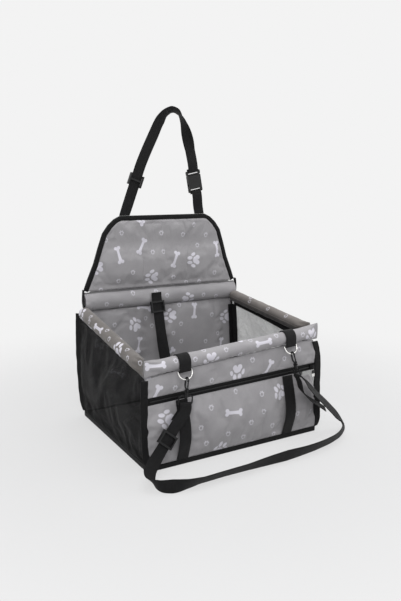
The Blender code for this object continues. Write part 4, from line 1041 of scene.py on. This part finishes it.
upper_motifs = [
    ("paw", -0.0011, 0.1646, -89), ("bone", 0.0725, 0.1594, -118), ("bone", -0.1778, 0.1504, -115),
] + dots((-0.0596, 0.1573), (0.0357, 0.1826), (0.1506, 0.188), (0.114, 0.1734), (-0.1391, 0.157))
upper = grid("upper_look", 110, 16, upper_place, laid(upper_place, 0, 2), print_cloth, "printed_cloth",
             upper_motifs, panel_thickness)
settle(upper, 110, 16, edges_only, 0.02, 2.0, cap=0.003)
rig.replaces(upper, "front_upper_panel")
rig.sheet(upper, flat=(0.385, 0.056), held="stretched")

# Side walls of mesh


def side_place(side):
    back_top = rim_height(side_rail_x(side), top_back_y) - wall_top_step
    back_share = (back_top - wall_foot) / (corner_edge(side, 1, 1).z - wall_foot)

    def place(u, v):
        front = corner_edge(side, -1, v)
        rear = corner_edge(side, 1, v * back_share)
        spot = blend(front, rear, u)
        spot.y -= wall_inset * (2 * u - 1)
        top = rim_height(side_rail_x(side), spot.y) - rail_drop(spot.y - side_rail_front_y(side))
        spot.z = blend(wall_foot, top, v)
        hold = arch(v) * arch(u)
        crease = math.exp(-((u - 0.3 - 0.45 * (1 - v)) / 0.05) ** 2)
        crease += math.exp(-((u - 0.8 - 0.12 * (1 - v)) / 0.04) ** 2)
        crease -= math.exp(-((u - 0.55) / 0.06) ** 2) * 0.6
        fold = ripple(spot.y, 2.0, spot.z, 24.0, 0.003)
        spot.x += side * (0.006 * hold + 0.003 * crease * hold + fold * hold ** 0.5 * 0.7)
        return spot

    return place


for side, name, look in ((-1, "left", dark_mesh), (1, "right", pale_mesh)):
    place = side_place(side)
    wall = grid(name + "_mesh_look", 84, 52, place, laid(place, 1, 2), look, "mesh_cloth")
    settle(wall, 84, 52, edges_only, 0.035, -side * 3.0, cap=0.009)
    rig.replaces(wall, name + "_mesh_panel")
    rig.sheet(wall, flat=(0.322, 0.212), held="stretched")

# Back wall: the printed inner cloth and the plain outer one


def back_place(forward, folds):
    def place(u, v):
        spot = blend(corner_edge(-1, 1, v), corner_edge(1, 1, v), u)
        spot.x -= wall_inset * (2 * u - 1)
        spot.z = blend(wall_foot, band_height(spot.x) - band_half_height - gap, v)
        wave = arch(u) * arch(v)
        fold = ripple(spot.x, 3.0, spot.z, 22.0, 0.003) * folds
        spot.y -= forward + 0.003 * wave + folds * 0.0012 * math.sin(7 * u + 3 * v) * wave + fold * wave ** 0.5
        return spot

    return place


inner_motifs = [
    ("bone", -0.048, 0.2338, -16), ("bone", 0.0803, 0.2112, -95), ("bone", -0.0657, 0.1477, -103),
    ("paw", -0.0732, 0.1962, 119), ("paw", 0.0173, 0.2066, 180), ("paw", 0.1706, 0.1849, 173),
    ("paw", -0.156, 0.165, 60), ("bone", 0.012, 0.115, 40), ("paw", 0.09, 0.095, -80),
    ("bone", -0.12, 0.09, 150), ("paw", -0.035, 0.06, 20), ("bone", 0.135, 0.05, -60),
    ("bone", 0.156, 0.115, 80),
] + dots(
    (-0.1244, 0.203), (0.041, 0.2295), (0.1269, 0.1961), (-0.0295, 0.1881), (0.0437, 0.1843),
    (0.0232, 0.1645), (-0.0453, 0.208), (0.1099, 0.1327), (0.1461, 0.1471), (0.0442, 0.1422),
    (-0.17, 0.115), (-0.09, 0.115), (-0.015, 0.095), (0.05, 0.065), (-0.085, 0.045),
    (-0.15, 0.045), (0.095, 0.035), (0.17, 0.075))
back_middle = back_place(0, 0)
back_flat = laid(back_middle, 0, 2)
inner = grid("back_inner_look", 92, 56, back_place(0.0018, 1.0), back_flat, print_cloth, "printed_cloth",
             inner_motifs, panel_thickness)
settle(inner, 92, 56, sewn_under(back_middle, (-0.024, -0.185, 0.185), 0.016), 0.03, 3.0, cap=0.006)
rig.replaces(inner, "back_inner_panel")
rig.sheet(inner, flat=(0.386, 0.226), held="stretched")
outer = grid("back_outer_look", 60, 36, back_place(-0.0018, 0.0), back_flat, plain_cloth, "plain_cloth", None,
             panel_thickness)
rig.replaces(outer, "back_outer_panel")
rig.sheet(outer, flat=(0.386, 0.226), held="stretched")

# Rim sleeves: cloth tubes round the pipes, a little wrinkled, sewn along their underside


def sleeve(name, start, end, side_sign, motifs, pinched, seed, replaced, cloth):
    """A sleeve from start to end, pressed flat at its start or (pinched 2) both; angle 0 faces outward, 90 up."""
    way = end - start
    length = way.length
    axis = 0 if abs(way.x) > abs(way.y) else 1
    outward = Vector((0, -1, 0)) if axis == 0 else Vector((side_sign, 0, 0))
    upward = Vector((0, 0, 1))
    across, along = 44, max(20, round(length / 0.0032))

    def place(u, v):
        angle = math.radians(-180 + 360 * u)
        distance = v * length
        nearest = min(distance, length - distance) if pinched == 2 else distance
        depth, height = sleeve_halves(nearest)
        flatness = end_flatness(nearest - 0.004)
        ridge = 0.00045 * math.sin(distance * 420 + 2.2 * math.sin(angle) + seed) * max(0.0, math.cos(angle + 1.2))
        fold = 0.0009 * noise.noise(Vector((distance * 55, math.cos(angle) * 1.2, math.sin(angle) * 1.2 + seed)))
        gather = 0.0011 * math.sin(7 * angle + seed) * flatness * (1 - flatness) * 4
        soft = (ridge + fold) * (1 - 0.7 * flatness) + gather - gap
        return (start + way * v + outward * ((depth + soft) * math.cos(angle))
                + upward * ((height + soft) * math.sin(angle)))

    begin = start[axis]

    def flat(u, v):
        return begin + way[axis] * v, sleeve_radius * math.radians(-180 + 360 * u)

    tube = grid(name, across, along, place, flat, cloth, "printed_cloth", motifs, wrap=True)
    built = bmesh.new()
    built.from_mesh(tube.data)
    built.verts.ensure_lookup_table()
    for row in (0, along)[:pinched]:
        built.faces.new(built.verts[row * across:(row + 1) * across]).smooth = True
    built.to_mesh(tube.data)
    built.free()
    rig.replaces(tube, replaced)
    return tube


def rail_dots(*places):
    """Small paw rings on a rail, placed by their way along it and their angle over its outer side."""
    return dots(*[(way, sleeve_radius * math.radians(degrees)) for way, degrees in places])


def rail_end(side, y):
    return Vector((side_rail_x(side), y, rim_height(side_rail_x(side), y)))


front_rail_motifs = [
    ("bone", -0.179, 0.0065, 2), ("bone", 0.0567, 0.0053, 0), ("paw", -0.0641, -0.0058, -90),
    ("paw", 0.1774, -0.0043, -90), ("paw", 0.01, 0.034, 60), ("bone", -0.12, 0.036, 20), ("bone", 0.125, 0.036, 160),
] + rail_dots((-0.0989, 14), (0.1524, 13), (0.002, -38), (-0.139, 40), (-0.03, 35),
              (0.09, 60), (0.03, 75), (-0.075, 80), (0.115, -15))
sleeve("front_rail_look", Vector((-front_rail_half, rim_front_y, rim_height(-front_rail_half, rim_front_y))),
       Vector((front_rail_half, rim_front_y, rim_height(front_rail_half, rim_front_y))), -1, front_rail_motifs, 2,
       1.0, "front_rail_sleeve", print_cloth)
left_rail_motifs = [
    ("bone", 0.04, 0.0075, 176), ("paw", -0.062, 0.0035, 80), ("paw", 0.136, 0.004, 200),
    ("bone", -0.02, 0.038, 12), ("paw", 0.085, -0.02, 30),
] + rail_dots((-0.108, 18), (-0.018, 30), (0.086, 20), (0.092, 62), (-0.09, 70),
              (0.01, 75), (-0.145, 35))
sleeve("left_rail_look", rail_end(-1, side_rail_front_y(-1)), rail_end(-1, rim_back_y - 0.0145), -1,
       left_rail_motifs, 1, 4.0, "left_rail_sleeve", rail_cloth)
right_rail_motifs = [
    ("bone", 0.105, 0.004, 170), ("paw", -0.11, 0.0, 60), ("bone", 0.01, -0.002, 12),
] + rail_dots((-0.135, 80), (-0.075, 120), (-0.01, 130), (0.062, 140), (0.07, 90),
              (0.125, 60), (-0.06, 30), (0.06, 20))
sleeve("right_rail_look", rail_end(1, side_rail_front_y(1)), rail_end(1, rim_back_y - 0.0145), 1,
       right_rail_motifs, 1, 7.0, "right_rail_sleeve", rail_cloth_with_painted_shade)


def band_place(u, v):
    angle = math.radians(-180 + 360 * u)
    x = blend(-backrest_half, backrest_half, v)
    fold = 0.001 * noise.noise(Vector((x * 42, math.cos(angle) * 1.2, math.sin(angle) * 1.2)))
    crumple = max(0.0, 1 - (x + backrest_half) / 0.05)
    fold += 0.0016 * crumple * noise.noise(Vector((x * 120, math.cos(angle) * 2, math.sin(angle) * 3 + 5)))
    scale = 1 + (fold - 0.0004) / sleeve_radius
    return Vector((x, rim_back_y - sleeve_radius * scale * math.cos(angle),
                   band_height(x) + band_half_height * (1 + (fold - 0.0004) / band_half_height) * math.sin(angle)))


def band_flat(u, v):
    angle = -180 + 360 * u
    side = 1 if angle >= 0 else -1
    up = band_half_height * math.sin(math.radians(angle))
    if abs(angle) > 90:
        up = side * (2 * band_half_height - abs(up))
    return blend(-backrest_half, backrest_half, v), up


band_motifs = dots(*[(x, z - band_height(x)) for x, z in (
    (-0.0794, 0.2726), (-0.0218, 0.2701), (0.0042, 0.2589), (0.1013, 0.2495), (0.1368, 0.2419),
    (-0.1445, 0.2544), (-0.1099, 0.247))])
band_motifs += [("paw", 0.06, -0.012, 10), ("bone", -0.15, 0.03, 4), ("dot", -0.105, 0.03, 90),
                ("bone", -0.06, 0.03, -5), ("dot", -0.01, 0.03, 90), ("bone", 0.04, 0.03, 6),
                ("dot", 0.088, 0.03, 90), ("bone", 0.13, 0.03, -4), ("dot", 0.172, 0.03, 90)]
band = grid("band_look", 48, 106, band_place, band_flat, print_cloth, "printed_cloth", band_motifs,
            wrap=True)
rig.replaces(band, "back_rail_sleeve")


def seam_place(u, v):
    x = blend(-backrest_half, backrest_half, v)
    base = band_height(x) + band_half_height - 0.0008
    low = 0.62 if abs(x) > backrest_half - 0.0125 else 1.0
    return Vector((x, rim_back_y, base + low * u * (band_seam + 0.0008)))


grid("band_seam_look", 3, 96, seam_place, lambda u, v: (blend(-backrest_half, backrest_half, v), u * 0.004),
     plain_cloth, "printed_cloth", None, 0.0009)

# Bindings: folded tapes round the edges


def rounded_rectangle(half_x, half_y, radius, steps=6):
    points = []
    for side_x, side_y, start in ((1, 1, 0), (-1, 1, 90), (-1, -1, 180), (1, -1, 270)):
        for right, up in arc(radius, start, 90, steps):
            points.append((side_x * (half_x - radius) + right, side_y * (half_y - radius) + up))
    return points


def filled(points, step):
    """More points along the straight runs of a closed line."""
    line = []
    for first, second in zip(points, points[1:] + points[:1]):
        first, second = Vector(first), Vector(second)
        count = max(1, round((second - first).length / step))
        for index in range(count):
            line.append(blend(first, second, index / count))
    return line


foot_line = filled([(x, y, 0.0055) for x, y in rounded_rectangle(basket_width / 2 - 0.001, basket_depth / 2 - 0.001,
                                                               0.005)], 0.008)
foot = sweep("foot_binding_look", foot_line, [Vector((0, 0, 1))] * len(foot_line), tape_section(0.0109, 0.0021),
             binding, "binding_tape", closed=True)
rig.replaces(foot, "bottom_binding")
for side, face, name, direction in ((-1, -1, "front_left", (-1, -0.1, 0)), (1, -1, "front_right", (1, -0.1, 0)),
                                    (-1, 1, "back_left", (-0.6, 0.8, 0)), (1, 1, "back_right", (0.6, 0.8, 0))):
    direction = Vector(direction).normalized()
    look = sweep(name + "_binding_look", [Vector((0, 0, step)) for step in range(49)], [direction] * 49,
                 tape_section(binding_width, binding_thickness), binding, "binding_tape")
    section = [(right / binding_width, up) for right, up in tape_section(binding_width, binding_thickness)]
    outward = direction.cross(Vector((0, 0, 1)))
    for index, vertex in enumerate(look.data.vertices):
        step, corner = divmod(index, len(section))
        v = blend(0.0, 0.985, step / 48)
        width = blend(wide_binding_width, binding_width, v ** 3) if (side, face) == (1, -1) else binding_width
        width *= blend(0.35, 1.0, min(1.0, (v / 0.1) ** 0.7))
        fold = 0.0009 * noise.noise(Vector((v * 11, side, face)))
        right, up = section[corner]
        wide = width * (right + 0.5) - seam_gap + fold - (binding_width / 2 if right < 0 else 0)
        lap = 0.0016 if face < 0 and right < 0 else 0.0
        vertex.co = corner_edge(side, face, v) + direction * wide + outward * up - Vector((0, lap, 0))
    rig.replaces(look, name + "_binding")

# Tapes inside the right side: down the back corner, and along the net under the rail

corner_line = [corner_edge(1, 1, blend(0.05, 0.93, step / 40)) + Vector((-0.003, -0.0068, 0)) for step in range(41)]
for name, way, width in (("back_corner_tape_look", Vector((-1, 0, 0)), 0.012),
                         ("side_corner_tape_look", Vector((-0.03, -1, 0)).normalized(), 0.02)):
    sweep(name, [spot + way * (width / 2 - seam_gap) for spot in corner_line], [way] * 41,
          tape_section(width, 0.0012), binding, "binding_tape")
net_tape_outline = tape_section(binding_width, net_tape_thickness)
net_line = []
for step in range(61):
    y = blend(-0.142, 0.14, step / 60)
    top = rim_height(side_rail_x(1), y) - rail_drop(y - side_rail_front_y(1))
    net_line.append(Vector((0.1845 + 0.002 * (1 - step / 60), y, top + 0.0004)))
net_tape = sweep("net_tape_look", net_line, [Vector((0, 0, 1))] * 61, net_tape_outline,
                 binding, "binding_tape")
for index, vertex in enumerate(net_tape.data.vertices):
    step, corner = divmod(index, len(net_tape_outline))
    right, up = net_tape_outline[corner]
    wide = 0.007 + 0.011 * (1 - step / 60) ** 2
    vertex.co = net_line[step] + Vector((up, 0, (right / binding_width - 0.5) * wide))

# Binding at the band's two ends, from the backrest's foot down to the side rails

for side in (-1, 1):
    x = side * (backrest_half + 0.0016)
    high = hinge_height + back_slope * x + 0.005
    low = band_height(x) - band_half_height * 0.55
    line = [Vector((x + side * 0.0016 * arch(step / 16), hinge_y - 0.004, blend(low, high, step / 16)))
            for step in range(17)]
    sweep(("left" if side < 0 else "right") + "_band_end_look", line, [Vector((0, 1, 0))] * 17,
          tape_section(0.01, 0.0026), binding, "binding_tape")

# Backrest, in the frame of its hinge line

hinge_turn = (Matrix.Translation((0, hinge_y, hinge_height))
              @ Matrix.Rotation(-math.atan(back_slope), 4, "Y"))
outline_shares = ((0.0, 1.0), (0.161, 0.951), (0.37, 0.878), (0.573, 0.826),
                  (0.77, 0.769), (0.88, 0.701), (0.955, 0.63), (1.0, 0.55))


def backrest_line(inset, steps=3):
    """The outline from the right foot over the top to the left foot, as x and height over the hinge."""
    right = [Vector((share_x * backrest_half, share * backrest_height, 0)) for share, share_x in outline_shares]
    line = right + [Vector((-point.x, point.y, 0)) for point in reversed(right)]
    drawn = []
    for index, (point, way) in enumerate(zip(line, ways(line))):
        spot = point + Vector((-way.y, way.x, 0)) * inset
        if index in (0, len(line) - 1):
            spot.y = point.y
        drawn.append(spot)
    fine = []
    for first, second in zip(drawn, drawn[1:]):
        fine += [blend(first, second, step / steps) for step in range(steps)]
    fine.append(drawn[-1])
    return fine


def half_width_at(line, height):
    right = line[:len(line) // 2 + 1]
    for low, high in zip(right, right[1:]):
        if height <= high.y:
            return blend(low.x, high.x, (height - low.y) / max(high.y - low.y, 1e-6))
    return right[-1].x


inner_line = backrest_line(backrest_binding_width + gap)
top_inside = backrest_height - backrest_binding_width - gap


def pad_flat(u, v):
    height = v * top_inside
    return half_width_at(inner_line, height) * (2 * u - 1), height


def pad_seams(v):
    """1 on the two quilting seams and at the pad's foot and top."""
    return abs(math.cos(1.5 * math.pi * v)) ** 14


def pad_place(u, v):
    x, height = pad_flat(u, v)
    groove = 0.0018 * pad_seams(v) if 0.04 < v < 0.96 else 0.0
    crown = 0.0026 * (arch(u) * arch(v)) ** 0.4
    soft = ripple(x, 8.0, height, 18.0, 0.0016) * (arch(u) * arch(v)) ** 0.5
    y = board_y - board_thickness / 2 - gap - pad_thickness / 2 - max(0.0, crown - groove + soft)
    return hinge_turn @ Vector((x, y, backrest_lift + height))


pad_motifs = [
    ("bone", -0.1116, 0.0767, -77), ("bone", -0.0559, 0.0933, -117), ("bone", 0.0262, 0.0597, -110),
    ("bone", 0.1384, 0.0778, -88), ("bone", -0.067, 0.1517, -31), ("paw", -0.1627, 0.0527, 180),
    ("paw", -0.0318, 0.0232, 180), ("paw", 0.0758, 0.0557, 180),
] + dots(
    (-0.1036, 0.1243), (-0.1406, 0.1107), (-0.0076, 0.121), (0.0478, 0.1161), (0.076, 0.1368),
    (0.1095, 0.1123), (0.0876, 0.0893), (-0.0296, 0.0793), (-0.0024, 0.0791), (-0.0804, 0.0371),
    (-0.1132, 0.0197), (0.024, 0.0186), (0.0598, 0.0035), (0.0946, 0.0021), (0.1351, 0.0216),
    (-0.1857, 0.0035), (-0.1534, 0.0009))
pad = grid("backrest_pad_look", 100, 44, pad_place, pad_flat, print_cloth, "printed_cloth", pad_motifs, 0.0022,
           body="backrest")
settle(pad, 100, 44, lambda u, v: 0.8 * pad_seams(v), 0.03, 4.0, cap=0.006)
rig.replaces(pad, "backrest_front_pad")
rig.padded(pad, fill=0.5)


def rear_place(u, v):
    x, height = pad_flat(u, v)
    soft = ripple(x, 11.0, height, 16.0, 0.001) * (arch(u) * arch(v)) ** 0.5
    y = board_y + board_thickness / 2 + gap + rear_thickness / 2 + abs(soft)
    return hinge_turn @ Vector((x, y, backrest_lift + height))


rear = grid("backrest_rear_look", 60, 26, rear_place, pad_flat, plain_cloth, "plain_cloth", None, 0.001,
            body="backrest")
settle(rear, 60, 26, edges_only, 0.02, -2.0, cap=0.004)
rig.replaces(rear, "backrest_back_panel")
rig.sheet(rear, flat=(0.34, 0.152), held="stretched")
edge_line = [hinge_turn @ Vector((point.x, 0.0, backrest_lift + point.y))
             for point in backrest_line(backrest_binding_width / 2, 5)]
edge_sides = [way.cross(Vector((0, 1, 0))).normalized() for way in ways(edge_line)]
edge = sweep("backrest_binding_look", edge_line, edge_sides,
             [(0.00525, 0.0), (0.0049, 0.002), (0.0036, 0.0034), (0.001, 0.0038), (-0.003, 0.0036), (-0.0052, 0.003),
              (-0.0052, -0.003), (-0.003, -0.0036), (0.001, -0.0038), (0.0036, -0.0034), (0.0049, -0.002)],
             binding, "binding_tape", body="backrest")
for vertex in edge.data.vertices:
    above = vertex.co.z - hinge_height - back_slope * vertex.co.x - backrest_lift
    vertex.co.y = hinge_y + (vertex.co.y - hinge_y) * min(1.0, max(0.25, above / 0.007))
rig.replaces(edge, "backrest_binding")

# Headrest strap and its buckle's strap

headrest_route = rows_route(
    (-0.076, 0.158, 0.4874, 1.0, 0.0, -0.38), (-0.063, 0.158, 0.521, 1.0, 0.0, -0.38),
    (-0.05, 0.158, 0.5546, 1.0, 0.0, -0.38), (-0.041, 0.158, 0.574, 1.0, 0.0, -0.38),
    (-0.019, 0.158, 0.617, 0.89, 0.0, -0.46), (-0.001, 0.158, 0.65, 0.83, 0.16, -0.53),
    (0.011, 0.1585, 0.664, 0.51, 0.55, -0.66), (0.025, 0.159, 0.671, 0.14, 0.72, -0.67),
    (0.038, 0.159, 0.67, -0.11, 0.95, -0.28), (0.049, 0.1585, 0.66, 0.15, 0.98, 0.08),
    (0.057, 0.158, 0.644, -0.1, 0.99, -0.05), (0.065, 0.158, 0.618, -0.7, 0.69, -0.2),
    (0.073, 0.158, 0.585, -1.0, 0.0, -0.2))


def backrest_top(x):
    return hinge_height + back_slope * x + backrest_lift + backrest_height + 0.0005


leg_foot = Vector((0.0965, hinge_y, backrest_top(0.0965)))
leg_top = Vector((0.078, hinge_y, 0.546))
leg_up = (leg_top - leg_foot).normalized()
leg_right = leg_up.cross(Vector((0, -1, 0)))
leg_turn = Matrix((leg_right, leg_up, Vector((0, -1, 0)))).transposed().to_4x4()
buckle = Matrix.Translation(blend(leg_foot, leg_top, 0.7)) @ leg_turn


def over_bar(bar_y, end):
    radius = math.hypot(bar_depth, bar_rise) / 2 + gap + web_thickness / 2
    points = [(buckle @ Vector((0, bar_y - end * up, out)), leg_right) for out, up in arc(radius, 0, 180, 6)]
    points.append((buckle @ Vector((0, bar_y + end * 2 * bar_depth, -radius)), leg_right))
    return points


seam_line = Vector((1, 0, back_slope))
bar_step = 0.03 / 2 + 0.0098 - bar_depth / 2
route = [(Vector((-0.092, hinge_y, backrest_top(-0.092))), seam_line)] + headrest_route
route += [(point, -across) for point, across in over_bar(bar_step + seam_gap, 1)]
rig.replaces(strap("headrest_look", route, "backrest")[0], "headrest_strap")
route = [(leg_foot, seam_line), (blend(leg_foot, buckle.translation, 0.2), seam_line)]
route += over_bar(bar_depth / 2 - bar_step, -1)
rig.replaces(strap("headrest_lower_look", route, "backrest")[0], "headrest_lower_strap")

# The padded lining on the floor inside


def lining_wave(v):
    """0 on the lining's quilting seams and 1 between them."""
    return abs(math.sin(math.pi * 4 * v))


def lining_place(u, v):
    crown = 0.003 * (arch(u) * arch(v)) ** 0.5
    wave = lining_wave(v)
    drawn = 1 - 0.012 * (1 - abs(2 * v - 1)) * (1 - wave)
    low = floor_top + gap + lining_thickness / 2
    x = (basket_width / 2 - lining_inset) * (2 * u - 1) * drawn
    y = (basket_depth / 2 - lining_inset) * (2 * v - 1)
    soft = ripple(x, y, 0.0, 20.0, 0.001)
    return Vector((x, y, low + max(0.0, crown - 0.0018 * (1 - wave) ** 4 + soft * min(1.0, crown / 0.002))))


lining = grid("floor_lining_look", 60, 72, lining_place,
              laid(lining_place, 0, 1), plain_cloth, "plain_cloth", None, 0.0046)
settle(lining, 60, 72, lambda u, v: 0.9 if lining_wave(v) < 0.2 else 0.0, 0.03, 4.0, cap=0.006)
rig.replaces(lining, "floor_lining")
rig.padded(lining, fill=0.4)

# Hardware keeps its CAD shape, with softened edges and its own finish


def pull_look():
    """The pull's black tab, with bright metal at its lower end."""
    material, n, shader = new_material("pull_look")
    height = n.parts(n.add("TexCoord").outputs["Generated"])[2]
    metal = n.ramp(height, 0.34, 0.3)
    n.dress(shader, Base_Color=n.mix(metal, (0.006, 0.006, 0.006, 1.0), (0.8, 0.79, 0.77, 1.0)), Metallic=metal,
          Roughness=n.ramp(metal, 0.0, 1.0, 0.42, 0.16))
    return material


finishes = {
    "black_plastic": black_plastic, "plated_steel": steel, "black_steel": black_steel, "pvc_tube": pvc,
    "board": board, "plain_cloth": plain_cloth, "binding_tape": binding, "webbing": webbing,
}
special = {"zip_slider": black_steel, "zip_pull": pull_look()}
slots = {entry["node"]: entry["material_slot"] for entry in frame["record"]["subparts"]}
for name, thing in frame["nodes"].items():
    finish = special.get(name) or finishes.get(slots[name])
    if finish is None:
        continue
    for index in range(len(thing.data.materials)):
        thing.data.materials[index] = finish
    if slots[name] in ("black_plastic", "plated_steel", "black_steel"):
        weld = thing.modifiers.new("weld", "WELD")
        weld.merge_threshold = 0.00002
        bevel = thing.modifiers.new("bevel", "BEVEL")
        bevel.width = 0.0004
        bevel.segments = 2
        bevel.limit_method = "ANGLE"
        bevel.angle_limit = math.radians(40)
        bevel.use_clamp_overlap = True
        bevel.harden_normals = False

# Floor, light and white surroundings

floor_mesh = bpy.data.meshes.new("floor")
built = bmesh.new()
bmesh.ops.create_grid(built, x_segments=1, y_segments=1, size=6.0)
built.to_mesh(floor_mesh)
built.free()
floor = bpy.data.objects.new("floor", floor_mesh)
floor.location.z = -0.0002
scene.collection.objects.link(floor)
floor_look, n, shader = new_material("floor_look")
spot = n.spot()
away = n.vector("LENGTH", n.vector("MULTIPLY", spot, (1.0, 1.0, 0.0)), out=1)
n.dress(shader, Alpha=n.ramp(away, 0.34, 0.95, 0.34, 0.0), Roughness=0.9, Specular_IOR_Level=0.1,
      Base_Color=n.mix(n.noise(spot, 3.0), linear(190, 190, 192), linear(194, 194, 196)))
floor_mesh.materials.append(floor_look)
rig.stage(floor)

world = bpy.data.worlds.new("world")
scene.world = world
world.use_nodes = True
n = Nodes(world.node_tree)
world.node_tree.nodes.clear()
rays = n.add("LightPath")
plain_seen = n.math("MAXIMUM", rays.outputs["Is Camera Ray"],
                    n.math("MAXIMUM", rays.outputs["Is Glossy Ray"], rays.outputs["Is Transmission Ray"]))
lit = n.add("Background", [(0, (1.0, 1.0, 1.0, 1.0)), (1, 0.55)])
seen = n.add("Background", [(0, linear(243, 243, 243)), (1, 1.0)])
mixed = n.add("MixShader", [(0, plain_seen), (1, lit.outputs[0]), (2, seen.outputs[0])])
n.add("OutputWorld", [(0, mixed.outputs[0])])


def area_light(name, place, aim, size, power):
    light = bpy.data.lights.new(name, "AREA")
    light.shape = "DISK"
    light.size = size
    light.energy = power
    thing = bpy.data.objects.new(name, light)
    thing.location = place
    thing.rotation_mode = "QUATERNION"
    thing.rotation_quaternion = (Vector(aim) - Vector(place)).to_track_quat("-Z", "Y")
    scene.collection.objects.link(thing)


area_light("key", (-0.9, -1.5, 1.7), (0, 0, 0.2), 1.4, 22)
area_light("top", (0.2, 0.1, 2.0), (0, 0, 0.1), 1.6, 16)
area_light("fill", (1.5, -0.9, 0.8), (0, 0, 0.2), 1.4, 6)

scene.view_settings.view_transform = "Standard"
low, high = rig.bounds()
with open("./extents.json", "w") as out:
    json.dump({"cad": [list(cad_low), list(cad_high)], "looks": [list(low), list(high)]}, out)
